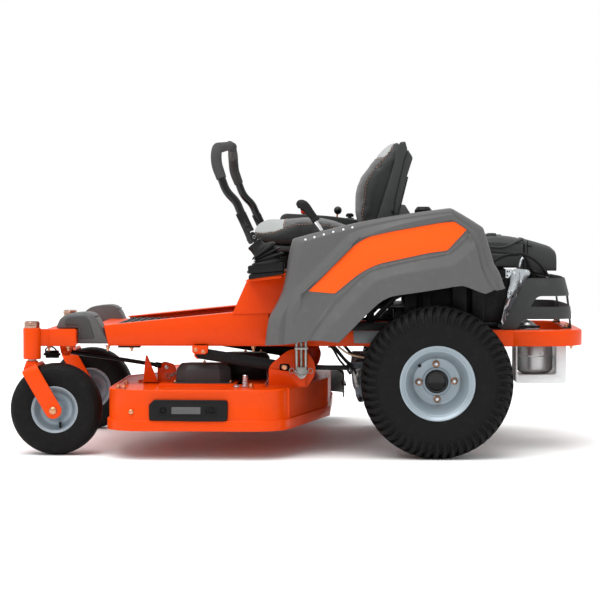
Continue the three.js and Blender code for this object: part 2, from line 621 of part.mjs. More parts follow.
// ---------- seat ----------
const seatPin = cylinder('x', [0, ...SEAT_PIVOT], 314, 6, 12);
const seatFrame = join(seatPin,
  box(-140, 140, -548, -210, 600, 604), box(-140, 140, -548, -532, 590, 604),
  ...[1, -1].map((side) => box(side * 110 - 10, side * 110 + 10, -540, -215, 603, 614)),
  ...[1, -1].map((side) => cylinder('z', [side * 110, -320, 577.4], 49, 14, 10)));
part('seat_frame', geometryOf(seatFrame), black);

const seatShell = join(
  prismX([[-548, 626], [-540, 640], [-240, 634], [-158, 646], [-144, 702], [-124, 800], [-92, 905],
    [-88, 938], [-84, 950], [-68, 910], [-85, 853], [-103, 780], [-124, 700], [-140, 632], [-240, 620],
    [-540, 622]],
  -222, 222),
  ...[1, -1].map((side) => box(side * 110 - 14, side * 110 + 14, -520, -240, 614 + GAP, 626)));
part('seat_shell', geometryOf(seatShell), charcoal);
part('seat_cushion', geometryOf(prismX([[-562, 660], [-564, 690], [-556, 705], [-537, 712], [-388, 717],
  [-295, 705], [-235, 690], [-225, 650], [-240, 638], [-536, 643]], -232, 232)), vinyl);
part('seat_back', geometryOf(prismX([[-226, 694], [-243, 720], [-246, 762], [-240, 809], [-220, 846],
  [-186, 892], [-159, 933], [-122, 966], [-98, 962], [-92, 946], [-98, 906], [-132, 800], [-152, 702],
  [-162, 660], [-214, 656]], -222, 222)), vinyl);

// ---------- deck lift ----------
// The lever, the cross shaft and its two arms are one weldment; the deck hangs on the arms.
const armDroop = THREE.MathUtils.degToRad(5);
const [leverY, leverZ] = LEVER_PIVOT;
const armY = leverY - LIFT_ARM * Math.cos(armDroop) - 8;
const armZ = leverZ - LIFT_ARM * Math.sin(armDroop);
const hangerArms = [1, -1].map((side) => prismX(
  [[leverY + 14, leverZ], [leverY, leverZ + 18], [armY, armZ + 9], [armY, armZ - 9], [leverY, leverZ - 18]],
  side * HANGER_X - 4, side * HANGER_X + 4));
const leverBar = pipe(
  [[LEVER_X, ...LEVER_PIVOT], [LEVER_X, -347, 682], [LEVER_X, -376, 722]], 6, 8, 20, 2);
const leverGrip = pipe(
  [[LEVER_X, -373, 717], [LEVER_X, -391, 743], [LEVER_X, -411, 765]], 13, 8, 14, 2);
part('lift_shaft', geometryOf(join(cylinder('x', [8, ...LEVER_PIVOT], 814, 10, 12), ...hangerArms, leverBar,
  leverGrip)), black);

// side arms: hinged under the rails, pinned through slots in the deck's brackets
function barBetween([y0, z0], [y1, z1], half, x0, x1) {
  const along = THREE.MathUtils.radToDeg(Math.atan2(z1 - z0, y1 - y0));
  return prismX([...arc(y0, z0, half, along + 90, along + 270, 5),
    ...arc(y1, z1, half, along - 90, along + 90, 5)], x0, x1);
}
pair('lift_arm', join(barBetween(SIDE_ARM_PIVOT, SIDE_ARM_PIN, 17, SIDE_ARM_X - 4, SIDE_ARM_X + 4),
  cylinder('x', [SIDE_ARM_X - 9, ...SIDE_ARM_PIVOT], 24, 7, 12),
  cylinder('x', [SIDE_ARM_X + 9, ...SIDE_ARM_PIN], 22, 7, 12)), black);

// front link: a long rod from the axle beam's lug to the deck
const linkEye = cut(cylinder('x', [FRONT_LINK_X, ...FRONT_LINK_PIVOT], 16, 11, 12),
  cylinder('x', [FRONT_LINK_X, ...FRONT_LINK_PIVOT], 20, 6.5, 12));
const rodStart = [FRONT_LINK_PIVOT[0] + 8.5, FRONT_LINK_PIVOT[1] - 1.2];
part('front_link', geometryOf(join(linkEye,
  pipe([[FRONT_LINK_X, ...rodStart], [FRONT_LINK_X, ...FRONT_LINK_END]], 6, 8))), black);

// ---------- deck ----------
const CORNER = 100;
function deckOutline(grow) {
  const r = CORNER + grow;
  return [
    ...arc(DECK_LEFT - CORNER, -988 + CORNER, r, -90, 0, 6),
    ...arc(DECK_LEFT - CORNER, -445 - CORNER, r, 0, 76, 5),
    [50 + grow * 0.25, -336 + grow],
    ...arc(DECK_RIGHT + CORNER, -336 - CORNER, r, 90, 180, 6),
    ...arc(DECK_RIGHT + CORNER, -905 + CORNER, r, 180, 270, 6),
    [-160, -905 - grow], [-20, -988 - grow],
  ];
}
const discharge = box(DECK_RIGHT - 20, DECK_RIGHT + 40, -690, -425, 60, 190);
const spindleHousings = [[SPINDLE_X, LEFT_SPINDLE_Y], [-SPINDLE_X, RIGHT_SPINDLE_Y]];
const deckBody = cut(
  join(prismZ(deckOutline(0), DECK_LIP, DECK_TOP), prismZ(deckOutline(SKIRT), DECK_LIP, 118)),
  prismZ(deckOutline(-DECK_T), DECK_LIP - 5, DECK_TOP - DECK_T), discharge);
const frontBracket = prismX([[-912, 206], [-903, 290], [-896, 294], [-872, 254], [-864, 206]], 247, 251);
const rearBrackets = [1, -1].map((side) => {
  const plate = prismX([[-503, 205], [-503, 262], [-480, 290], [-440, 318], [-400, 318], [-372, 300],
    [-362, 262], [-372, 232], [-392, 205]], SIDE_ARM_X + 10, SIDE_ARM_X + 14);
  const [pinY, pinZ] = SIDE_ARM_PIN;
  const slot = box(SIDE_ARM_X, SIDE_ARM_X + 20, pinY - 16, pinY + 16, pinZ - 11, pinZ + 11);
  const hanger = join(box(HANGER_X - 12, HANGER_X + 12, -414, -398, 238, 350),
    box(HANGER_X - 12, HANGER_X - 6, -414, -398, 340, 396),
    box(HANGER_X + 6, HANGER_X + 12, -414, -398, 340, 396),
    cylinder('x', [HANGER_X - 12, -406, 250], 48, 7, 10));
  const bracket = join(cut(plate, slot), hanger);
  return side > 0 ? bracket : mirrored(bracket);
});
part('deck_shell', geometryOf(cut(
  join(deckBody, frontBracket, ...rearBrackets,
    ...spindleHousings.map(([x, y]) => cylinder('z', [x, y, 187], 54, 36, 16))),
  ...spindleHousings.map(([x, y]) => cylinder('z', [x, y, 187], 80, 14, 16)))), paint);

// belt covers over the blade pulleys
function pulleyCover(x, y) {
  const side = (inset, z0) => {
    const end = COVER_HALF_L - inset;
    return [[-end, z0], [-end, COVER_TOP - 18], [-COVER_HALF_L + 20, COVER_TOP - inset],
      [COVER_HALF_L - 20, COVER_TOP - inset], [end, COVER_TOP - 18], [end, z0]];
  };
  const body = prismX(side(0, DECK_TOP + GAP), -COVER_HALF_W, COVER_HALF_W);
  const hollow = prismX(side(4, DECK_TOP - 10), -COVER_HALF_W + 4, COVER_HALF_W - 4);
  return cut(body, hollow).translate([x, y, 0]);
}
part('left_pulley_cover', geometryOf(pulleyCover(SPINDLE_X, LEFT_SPINDLE_Y)), charcoal);
part('right_pulley_cover', geometryOf(pulleyCover(-SPINDLE_X, RIGHT_SPINDLE_Y)), charcoal);

// blades, each on a spindle with its pulley
spindleHousings.forEach(([x, y], i) => {
  const blade = prismZ([[-BLADE_HALF, -29], [BLADE_HALF, -29], [BLADE_HALF, 18],
    [BLADE_HALF - 70, 29], [-BLADE_HALF + 70, 29], [-BLADE_HALF, 29]], BLADE_Z, BLADE_Z + 5);
  const spindle = join(blade, cylinder('z', [0, 0, 170], 150, 11, 12),
    cylinder('z', [0, 0, 229], 16, PULLEY_R, 24), cylinder('z', [0, 0, 96], 8, 18, 6));
  const mesh = part(`${i ? 'right' : 'left'}_blade`, geometryOf(spindle), alloy);
  mesh.position.set(x, y, 0);
});

// hinged discharge chute: a bent sheet, its outer corners rounded in plan, open below and inside
const DEFLECTOR_IN = DECK_RIGHT - 8;
const CHUTE_T = 4;
function chuteBody(inset, zDrop) {
  const inner = DEFLECTOR_IN + (inset > 0 ? 2 * CHUTE_T : 0);
  const outer = DEFLECTOR_OUT + inset;
  const r = 80 - inset;
  const front = DEFLECTOR_FRONT + inset;
  const rear = DEFLECTOR_REAR - inset;
  const section = prismY([[inner, 192 - inset], [-640, 190 - inset], [-760 + inset, 152 - inset],
    [outer, 98 - zDrop], [inner, 98 - zDrop]], front, rear);
  return section.intersect(prismZ([[inner, front], [inner, rear],
    ...arc(outer + r, rear - r, r, 90, 180, 5), ...arc(outer + r, front + r, r, 180, 270, 5)], 50, 250));
}
const chute = cut(chuteBody(0, 0), chuteBody(CHUTE_T, 2 * CHUTE_T));
part('chute_deflector', geometryOf(chute), charcoal);

mower.position.set(-CENTRE_X, -CENTRE_Y, 0);

export default mower;
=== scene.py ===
import math

import bmesh
import bpy
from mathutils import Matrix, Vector, bvhtree, geometry


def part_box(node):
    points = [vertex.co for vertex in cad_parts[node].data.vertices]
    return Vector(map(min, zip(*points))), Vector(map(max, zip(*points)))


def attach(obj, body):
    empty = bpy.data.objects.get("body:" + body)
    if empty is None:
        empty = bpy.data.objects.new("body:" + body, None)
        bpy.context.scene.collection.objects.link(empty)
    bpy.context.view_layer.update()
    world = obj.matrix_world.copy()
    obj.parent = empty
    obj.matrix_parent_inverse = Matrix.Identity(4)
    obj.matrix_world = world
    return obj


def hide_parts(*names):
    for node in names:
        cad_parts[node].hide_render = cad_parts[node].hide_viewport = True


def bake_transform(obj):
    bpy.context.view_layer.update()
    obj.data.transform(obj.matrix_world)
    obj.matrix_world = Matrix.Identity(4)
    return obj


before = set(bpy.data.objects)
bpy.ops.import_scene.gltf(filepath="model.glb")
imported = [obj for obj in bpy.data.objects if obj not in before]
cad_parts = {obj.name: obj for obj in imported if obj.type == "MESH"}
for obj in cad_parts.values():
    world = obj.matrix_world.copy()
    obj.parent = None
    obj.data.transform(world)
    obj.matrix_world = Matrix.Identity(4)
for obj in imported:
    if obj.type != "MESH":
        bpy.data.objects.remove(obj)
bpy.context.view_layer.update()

# A zero turn mower. Lengths are in millimetres about the rear axle's point on the ground:
# +X is the mower's left, +Y its rear and +Z up. HOME turns them into the frame's metres.
MM = 0.001
LEFT_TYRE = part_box("left_rear_tyre")
RIGHT_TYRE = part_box("right_rear_tyre")
HOME = Vector(((LEFT_TYRE[1][0] + RIGHT_TYRE[0][0]) / 2, (LEFT_TYRE[0][1] + LEFT_TYRE[1][1]) / 2, 0))
SIDES = ((1, "left"), (-1, "right"))
BEVEL_FROM = 30  # degrees: flatter edges than this stay as they are
AXES = {"x": Vector((1, 0, 0)), "y": Vector((0, 1, 0)), "z": Vector((0, 0, 1))}


# ---------- camera, light and floor ----------
scene = bpy.context.scene
scene.view_settings.view_transform = "Standard"
YAW = 0.0352
PITCH = 0.0388
camera_data = bpy.data.cameras.new("camera")
camera_data.sensor_width = 36
camera_data.lens = 117.83
camera_data.clip_end = 60
camera = bpy.data.objects.new("camera", camera_data)
scene.collection.objects.link(camera)
camera.location = HOME + Vector((6345.6, -203.9, 704)) * MM
gaze = Vector((-math.cos(YAW) * math.cos(PITCH), -math.sin(YAW) * math.cos(PITCH), -math.sin(PITCH)))
camera.rotation_euler = gaze.to_track_quat("-Z", "Y").to_euler()
scene.camera = camera


def lamp(name, kind, power, place, way, **settings):
    data = bpy.data.lights.new(name, kind)
    data.energy = power
    for key, value in settings.items():
        setattr(data, key, value)
    obj = bpy.data.objects.new(name, data)
    scene.collection.objects.link(obj)
    obj.location = HOME + Vector(place)
    obj.rotation_euler = Vector(way).to_track_quat("-Z", "Y").to_euler()


lamp("side_light", "AREA", 24, (3.6, -2.2, 2.7), (-3.3, 1.8, -2.2), shape="DISK", size=1.3)
lamp("overcast_sun", "SUN", 2.05, (0, 0, 3), (-0.3, 0.2, -1), angle=0.9)

world = bpy.data.worlds.new("studio")
scene.world = world
world.use_nodes = True
sky = world.node_tree
backdrop = sky.nodes["Background"]
backdrop.inputs["Color"].default_value = (1, 1, 1, 1)
heading = sky.nodes.new("ShaderNodeSeparateXYZ")
sky.links.new(sky.nodes.new("ShaderNodeTexCoord").outputs["Generated"], heading.inputs[0])


def sky_ramp(source, from_min, from_max, to_min, to_max):
    """How bright the sky is along one part of the heading. None leaves a value for a link."""
    ramp = sky.nodes.new("ShaderNodeMapRange")
    for i, value in enumerate((from_min, from_max, to_min, to_max)):
        if value is not None:
            ramp.inputs[i + 1].default_value = value
    sky.links.new(source, ramp.inputs["Value"])
    return ramp


# white behind the mower and overhead, dimmer on the side that its left faces
dimmed = sky_ramp(heading.outputs["X"], 0.0, 0.7, 1.0, 0.75)
overhead = sky_ramp(heading.outputs["Z"], 0.45, 0.9, None, 1.0)
sky.links.new(dimmed.outputs[0], overhead.inputs["To Min"])
sky.links.new(overhead.outputs[0], backdrop.inputs["Strength"])


# ---------- materials ----------
def linear(colour):
    """sRGB 0-255 to linear."""
    return tuple(((c / 255 + 0.055) / 1.055) ** 2.4 if c > 10 else c / 255 / 12.92 for c in colour)


class Finish:
    """A procedural material: colour and gloss that vary over the surface, and a relief."""

    def __init__(self, name, colour, rough, metal=0.0, coat=0.0, sheen=0.0, tint=0.06, patch=60,
                 vary=0.06, specular=0.5):
        self.material = bpy.data.materials.new(name)
        self.material.use_nodes = True
        self.tree = self.material.node_tree
        self.shader = self.tree.nodes["Principled BSDF"]
        self.place = self.tree.nodes.new("ShaderNodeTexCoord").outputs["Object"]
        self.relief = None
        base = linear(colour)
        for socket, value in (("Metallic", metal), ("Coat Weight", coat), ("Coat Roughness", 0.08),
                              ("Sheen Weight", sheen), ("Specular IOR Level", specular)):
            self.shader.inputs[socket].default_value = value
        self.material.diffuse_color = (*base, 1)
        self.colour = self.mix(self.noise(patch, 4), [c * (1 - tint) for c in base],
                               [min(1, c * (1 + tint)) for c in base])
        self.rough(self.noise(patch * 0.4, 3), rough - vary, rough + vary)
        self.tree.links.new(self.colour, self.shader.inputs["Base Color"])

    def node(self, kind, **sockets):
        node = self.tree.nodes.new(kind)
        for name, value in sockets.items():
            node.inputs[name].default_value = value
        return node

    def noise(self, size, detail=2, stretch=None):
        node = self.node("ShaderNodeTexNoise", Scale=1 / (size * MM), Detail=detail)
        source = self.place
        if stretch:
            mapping = self.node("ShaderNodeMapping", Scale=stretch)
            self.tree.links.new(source, mapping.inputs["Vector"])
            source = mapping.outputs["Vector"]
        self.tree.links.new(source, node.inputs["Vector"])
        return node.outputs["Fac"]

    def cells(self, size, feature="F1"):
        node = self.node("ShaderNodeTexVoronoi", Scale=1 / (size * MM))
        node.feature = feature
        self.tree.links.new(self.place, node.inputs["Vector"])
        return node.outputs["Distance"]

    def ramp(self, value, low, high, to_low=0.0, to_high=1.0):
        node = self.node("ShaderNodeMapRange")
        for i, number in enumerate((low, high, to_low, to_high)):
            node.inputs[i + 1].default_value = number
        self.tree.links.new(value, node.inputs[0])
        return node.outputs[0]

    def mix(self, factor, low, high):
        node = self.tree.nodes.new("ShaderNodeMix")
        node.data_type = "RGBA"
        self.tree.links.new(factor, node.inputs["Factor"])
        for socket, value in ((node.inputs[6], low), (node.inputs[7], high)):
            if hasattr(value, "links"):
                self.tree.links.new(value, socket)
            else:
                socket.default_value = (*value, 1)
        return node.outputs[2]

    def rough(self, value, low, high):
        self.tree.links.new(self.ramp(value, 0.3, 0.7, max(low, 0.02), high), self.shader.inputs["Roughness"])
        return self

    def bump(self, height, strength, depth):
        node = self.node("ShaderNodeBump", Strength=strength, Distance=depth * MM)
        self.tree.links.new(height, node.inputs["Height"])
        if self.relief:
            self.tree.links.new(self.relief, node.inputs["Normal"])
        self.relief = node.outputs["Normal"]
        self.tree.links.new(self.relief, self.shader.inputs["Normal"])
        return self

    def grain(self, size, strength, depth):
        return self.bump(self.noise(size, 2), strength, depth)

    def hide(self, size, strength, depth):
        """Pebbled leather grain: a relief of cells with a finer grain over it."""
        height = self.ramp(self.cells(size, "DISTANCE_TO_EDGE"), 0.0, 0.22)
        self.bump(height, strength, depth)
        return self.grain(size * 0.35, strength * 0.4, depth * 0.5)

    def worn(self, amount, colour, size):
        """Scuffs and dust of another colour, in small uneven patches."""
        spots = self.ramp(self.noise(size, 6), 0.56, 0.72, 0.0, amount)
        self.colour = self.mix(spots, self.colour, linear(colour))
        self.tree.links.new(self.colour, self.shader.inputs["Base Color"])
        return self

    def brushed(self, stretch, strength):
        return self.bump(self.noise(2.5, 3, stretch), strength, 0.15)


def paint(name, colour):
    finish = Finish(name, colour, 0.4, coat=0.12, tint=0.04, patch=240, vary=0.05, specular=0.1)
    finish.grain(3.2, 0.05, 0.12).grain(0.5, 0.05, 0.05)
    return finish.worn(0.10, [c * 0.72 for c in colour], 34)


def plastic(name, colour, rough=0.5, grain=0.35, specular=0.28):
    finish = Finish(name, colour, rough, tint=0.07, patch=90, specular=specular)
    finish.grain(0.9, grain, 0.12).bump(finish.cells(1.6), grain * 0.5, 0.1)
    return finish.worn(0.16, [min(255, c * 1.25 + 10) for c in colour], 22)


def metal(name, colour, rough, strength=0.2, tint=0.1):
    finish = Finish(name, colour, rough, metal=1.0, tint=tint, patch=26, vary=0.07)
    return finish.brushed((1, 1, 9), strength).worn(0.25, [c * 0.6 for c in colour], 12)


orange = paint("orange paint", (218, 66, 0))
decal = Finish("orange decal film", (246, 88, 18), 0.45, tint=0.03, patch=150, specular=0.15)
decal.grain(1.6, 0.04, 0.05)
grey = plastic("grey moulded plastic", (84, 84, 84))
charcoal = plastic("charcoal moulded plastic", (52, 53, 53))
black = Finish("black powder coat", (13, 13, 14), 0.36, tint=0.12, patch=40, specular=0.16)
black.grain(1.1, 0.3, 0.1).worn(0.22, (62, 60, 58), 9)
gloss_black = Finish("gloss black enamel", (8, 8, 9), 0.14, coat=0.1, tint=0.1, patch=50, specular=0.3)
gloss_black.grain(4, 0.08, 0.1)
black_plastic = plastic("black plastic", (18, 18, 19), 0.4, specular=0.16)
rubber = Finish("black rubber", (27, 27, 28), 0.5, tint=0.12, patch=30, specular=0.16)
rubber.grain(1.4, 0.3, 0.12).worn(0.12, (52, 52, 52), 14)
tyre_rubber = Finish("tyre rubber", (20, 20, 20), 0.62, tint=0.14, patch=36, vary=0.1, specular=0.1)
tyre_rubber.grain(1.2, 0.45, 0.2).worn(0.25, (38, 37, 36), 26)
rim_paint = Finish("silver wheel paint", (150, 162, 170), 0.42, metal=0.4, tint=0.03, patch=90)
rim_paint.grain(2.4, 0.02, 0.04)
casting = Finish("cast alloy", (104, 110, 116), 0.5, metal=0.6, tint=0.14, patch=24)
casting.grain(1.8, 0.5, 0.2).worn(0.3, (58, 58, 58), 10)
bright_alloy = metal("bright alloy", (196, 202, 206), 0.3, 0.12)
steel = metal("brushed stainless steel", (176, 176, 176), 0.36, 0.35)
chrome = metal("chrome plate", (228, 228, 230), 0.09, 0.03, tint=0.03)
zinc = metal("yellow zinc plate", (206, 148, 112), 0.3, 0.15)
steel_plain = metal("plain zinc plate", (150, 149, 145), 0.34, 0.2)
red = plastic("red plastic", (206, 46, 14), 0.4, 0.15)
foam = Finish("grip foam", (62, 62, 62), 0.85, tint=0.1, patch=20, specular=0.25)
foam.bump(foam.cells(1.0), 0.5, 0.25).grain(0.6, 0.4, 0.2)
vinyl = Finish("dark vinyl", (38, 39, 39), 0.46, tint=0.06, patch=70, specular=0.3).hide(1.5, 0.3, 0.22)
vinyl_mid = Finish("grey vinyl", (84, 85, 84), 0.48, tint=0.05, patch=60, specular=0.3).hide(1.5, 0.3, 0.22)
vinyl_light = Finish("pale vinyl", (158, 161, 160), 0.5, tint=0.05, patch=60, specular=0.3)
vinyl_light.hide(1.5, 0.25, 0.2)
thread = Finish("orange-brown thread", (158, 104, 74), 0.7, sheen=0.4, tint=0.12, patch=4)
thread.grain(0.3, 0.6, 0.2)
label = Finish("blank silver label", (104, 108, 111), 0.4, metal=0.2, tint=0.05, patch=40)
label.grain(1, 0.06, 0.04)
bronze = metal("dark plated steel", (172, 140, 124), 0.2, 0.2)
# a darker grey that paints shade on the footrest's side panel; the ribs there share it
painted_shade_grey = plastic("grey plastic with painted shade", (62, 62, 62))
shield_sheet = Finish("aluminised sheet", (226, 228, 229), 0.4, metal=0.3, tint=0.05, patch=60)
beige = plastic("beige cable sheath", (196, 172, 146), 0.5, 0.1)
lamp_white = plastic("pale plastic", (226, 228, 230), 0.4, 0.1)
ground = Finish("pale floor", (250, 250, 250), 0.9, tint=0.01, patch=900, specular=0.1)

# the library's slot for each finish, unless a piece names another
for slot, finishes in (
        ("painted_orange", (orange, decal)), ("grey_plastic", (grey, painted_shade_grey, beige, lamp_white)),
        ("charcoal_plastic", (charcoal,)), ("black_plastic", (black_plastic,)), ("red_plastic", (red,)),
        ("black_steel", (black, gloss_black)), ("cast_alloy", (casting,)), ("rim_silver", (rim_paint, label)),
        ("bright_steel", (bright_alloy, steel, chrome, zinc, steel_plain, bronze, shield_sheet)),
        ("rubber", (rubber,)), ("tyre", (tyre_rubber,)), ("foam", (foam,)), ("vinyl", (thread,))):
    for finish in finishes:
        finish.slot = slot


# ---------- mesh helpers ----------
def rings(bm, loops, closed=False, caps=True):
    """A skin over a row of equal loops of points. closed joins the last loop to the first."""
    rows = [[bm.verts.new(point) for point in loop] for loop in loops]
    pairs = list(zip(rows, rows[1:])) + ([(rows[-1], rows[0])] if closed else [])
    count = len(rows[0])
    for a, b in pairs:
        for i in range(count):
            j = (i + 1) % count
            bm.faces.new((a[i], a[j], b[j], b[i]))
    if caps and not closed:
        bm.faces.new(rows[0][::-1])
        bm.faces.new(rows[-1])
    return [v for row in rows for v in row]


def lift(axis, a, b, c):
    return Vector({"x": (c, a, b), "y": (a, c, b), "z": (a, b, c)}[axis])


def prism(bm, outline, axis, low, high, holes=()):
    """An outline in the plane square to the axis, pushed from low to high."""
    if not holes:
        return rings(bm, [[lift(axis, a, b, c) for a, b in outline] for c in (low, high)])
    loops = [outline, *holes]
    triangles = geometry.tessellate_polygon([[Vector((a, b, 0)) for a, b in loop] for loop in loops])
    rows = [[bm.verts.new(lift(axis, a, b, c)) for loop in loops for a, b in loop] for c in (low, high)]
    for row in rows:
        for triangle in triangles:
            bm.faces.new([row[i] for i in triangle])
    start = 0
    for loop in loops:
        for i in range(len(loop)):
            p, q = start + i, start + (i + 1) % len(loop)
            bm.faces.new((rows[0][p], rows[0][q], rows[1][q], rows[1][p]))
        start += len(loop)
    return rows[0] + rows[1]


def arc(cx, cy, radius, start, end, steps=8):
    angles = [math.radians(start + (end - start) * i / steps) for i in range(steps + 1)]
    return [(cx + radius * math.cos(a), cy + radius * math.sin(a)) for a in angles]


def rectangle(x0, x1, y0, y1):
    return [(x0, y0), (x1, y0), (x1, y1), (x0, y1)]


def block(bm, x0, x1, y0, y1, z0, z1):
    return prism(bm, rectangle(x0, x1, y0, y1), "z", z0, z1)


def span(side, a, b):
    """The stretch from a to b along X, on the left for side 1 and on the right for side -1."""
    return sorted((side * a, side * b))


def mirrored(half, middle=()):
    """Half an outline, its middle points, and the other half, which mirrors the first in X."""
    return [*half, *middle, *((-x, y) for x, y in half[::-1])]


def loft(bm, outline, levels, middle=None):
    """A (Y, Z) outline drawn at each level's X, shrunk towards its middle by the level's factor."""
    if middle is None:
        middle = sum((Vector(p) for p in outline), Vector((0, 0))) / len(outline)
    middle = Vector(middle)
    return rings(bm, [[(x, *(middle + (Vector(p) - middle) * keep)) for p in outline] for x, keep in levels])


def soften(outline, radius, steps=5):
    """A closed outline with its corners rounded. A third number is a corner's own radius."""
    result = []
    for i, point in enumerate(outline):
        corner = Vector(point[:2])
        before = Vector(outline[i - 1][:2]) - corner
        after = Vector(outline[(i + 1) % len(outline)][:2]) - corner
        reach = min(point[2] if len(point) > 2 else radius, before.length * 0.48, after.length * 0.48)
        a = corner + before.normalized() * reach
        b = corner + after.normalized() * reach
        for s in range(steps + 1):
            t = s / steps
            result.append(tuple(a * (1 - t) ** 2 + corner * 2 * t * (1 - t) + b * t * t))
    return result


def bent(points, radius, steps=6):
    """An open line of points with rounded corners."""
    points = [Vector(p) for p in points]
    result = [points[0]]
    for before, corner, after in zip(points, points[1:], points[2:]):
        back, ahead = before - corner, after - corner
        reach = min(radius, back.length * 0.48, ahead.length * 0.48)
        a, b = corner + back.normalized() * reach, corner + ahead.normalized() * reach
        for s in range(steps + 1):
            t = s / steps
            result.append(a * (1 - t) ** 2 + corner * 2 * t * (1 - t) + b * t * t)
    return result + [points[-1]]


def spline(points, per=8):
    """A smooth curve through the points."""
    points = [Vector(p) for p in points]
    ends = [points[0] * 2 - points[1], *points, points[-1] * 2 - points[-2]]
    result = []
    for p0, p1, p2, p3 in zip(ends, ends[1:], ends[2:], ends[3:]):
        for s in range(per):
            t = s / per
            result.append(0.5 * (2 * p1 + (p2 - p0) * t + (2 * p0 - 5 * p1 + 4 * p2 - p3) * t * t
                                 + (3 * p1 - p0 - 3 * p2 + p3) * t ** 3))
    return result + [points[-1]]


def tube(bm, route, radius, sides=16):
    """A round section along a route. radius is one number or one for each point."""
    route = [Vector(p) for p in route]
    side = None
    loops = []
    for i, point in enumerate(route):
        along = (route[min(i + 1, len(route) - 1)] - route[max(i - 1, 0)]).normalized()
        side = side or along.orthogonal()
        side = (side - along * side.dot(along)).normalized()
        up = along.cross(side)
        r = radius if isinstance(radius, (int, float)) else radius[i]
        turns = [2 * math.pi * s / sides for s in range(sides)]
        loops.append([point + side * r * math.cos(a) + up * r * math.sin(a) for a in turns])
    return rings(bm, loops)


def turn(bm, profile, axis, centre, sides=48):
    """A closed profile of (along, radius) pairs turned about an axis through the centre."""
    along = AXES[axis] if isinstance(axis, str) else Vector(axis).normalized()
    u = along.orthogonal().normalized()
    v = along.cross(u)
    centre = Vector(centre)
    loops = []
    for s in range(sides):
        a = 2 * math.pi * (s + 0.5) / sides
        out = u * math.cos(a) + v * math.sin(a)
        loops.append([centre + along * x + out * r for x, r in profile])
    return rings(bm, loops, closed=True)


def disc(bm, axis, centre, radius, low, high, sides=32, edge=1.0):
    """A short round bar with broken edges."""
    return turn(bm, [(low, 0), (low, radius - edge), (low + edge, radius), (high - edge, radius),
                     (high, radius - edge), (high, 0)], axis, centre, sides)


def nut(bm, axis, centre, across, height, thread=0.0):
    """A hexagon nut on a washer, with its bolt's end standing proud by thread."""
    r = across * 0.577
    disc(bm, axis, centre, r * 1.25, -1, 1.6, 24, 0.4)
    turn(bm, [(1, 0), (1, r), (height - 1, r), (height, r * 0.84), (height, 0)], axis, centre, 6)
    if thread:
        disc(bm, axis, centre, across * 0.3, 1, height + thread, 16, 0.8)


def dome(bm, axis, centre, radius, height):
    """A carriage bolt's round head."""
    turn(bm, [(-2, 0), (-2, radius), (height * 0.15, radius), (height * 0.55, radius * 0.86),
              (height * 0.85, radius * 0.5), (height, 0)], axis, centre, 24)


def set_modifier(obj, kind, **settings):
    modifier = obj.modifiers.new(kind.lower(), kind)
    for key, value in settings.items():
        setattr(modifier, key, value)
    return modifier


def settle(obj):
    """Replaces the mesh with what its modifiers make of it."""
    graph = bpy.context.evaluated_depsgraph_get()
    mesh = bpy.data.meshes.new_from_object(obj.evaluated_get(graph))
    obj.modifiers.clear()
    obj.data = mesh


def place(name, bm):
    """An object of the bmesh, in metres about HOME."""
    for v in bm.verts:
        v.co = HOME + v.co * MM
    mesh = bpy.data.meshes.new(name)
    bm.to_mesh(mesh)
    bm.free()
    obj = bpy.data.objects.new(name, mesh)
    scene.collection.objects.link(obj)
    return obj


def solid(name, bm):
    """An object of the closed shapes in the bmesh, cleaned."""
    bmesh.ops.remove_doubles(bm, verts=bm.verts, dist=0.01)
    bmesh.ops.dissolve_degenerate(bm, dist=0.005, edges=bm.edges)
    bmesh.ops.recalc_face_normals(bm, faces=bm.faces)
    return place(name, bm)


def carve(obj, *makers):
    """Cuts the shapes that the makers build out of the object."""
    for make in makers:
        bm = bmesh.new()
        make(bm)
        tool = solid("tool", bm)
        set_modifier(obj, "BOOLEAN", operation="DIFFERENCE", solver="EXACT", object=tool)
        settle(obj)
        bpy.data.objects.remove(tool)


def shade(obj, finish, sharp):
    """Smooth faces with edges sharper than the angle kept, in one finish."""
    mesh = obj.data
    mesh.polygons.foreach_set("use_smooth", [True] * len(mesh.polygons))
    mesh.set_sharp_from_angle(angle=math.radians(sharp))
    mesh.materials.clear()
    mesh.materials.append(finish.material)


def dress(obj, finish, body="chassis", nodes=(), slot=None, bevel=0.0, segments=2, sharp=32):
    """Rounds the edges, shades the object, and ties it to its body and CAD nodes."""
    if bevel:
        set_modifier(obj, "BEVEL", width=bevel * MM, segments=segments, limit_method="ANGLE",
                     angle_limit=math.radians(BEVEL_FROM), use_clamp_overlap=True)
        settle(obj)
    shade(obj, finish, sharp)
    slot = slot or finish.slot
    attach(obj, body)
    if nodes:
        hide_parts(*nodes)
    return obj


def piece(name, make, finish, body="chassis", nodes=(), cuts=(), **options):
    bm = bmesh.new()
    make(bm)
    obj = solid(name, bm)
    if cuts:
        carve(obj, *cuts)
    return dress(obj, finish, body, nodes, **options)


def flipped(make):
    """The same shape on the mower's right."""
    def right(bm):
        make(bm)
        for v in bm.verts:
            v.co.x = -v.co.x
    return right


def pair(name, make, finish, body="chassis", nodes=(), cuts=(), **options):
    """Both hands of a piece that is made on the left. {} in a name stands for the hand."""
    both = []
    for side, hand in SIDES:
        shape, *holes = (make, *cuts) if side > 0 else [flipped(m) for m in (make, *cuts)]
        both.append(piece(f"{hand}_{name}", shape, finish, body.format(hand),
                          [node.format(hand) for node in nodes], holes, **options))
    return both


# the floor
floor_mesh = bmesh.new()
rings(floor_mesh, [[(x * 9000, y * 9000, z) for x, y in ((-1, -1), (1, -1), (1, 1), (-1, 1))] for z in (-20,
    0)])
floor = solid("floor", floor_mesh)
floor.data.materials.append(ground.material)


# ---------- rear wheels ----------
REAR_X = 425
REAR_R = 228.6
WHEEL = Vector((REAR_X, 0, REAR_R))
REAR_LUGS = 54
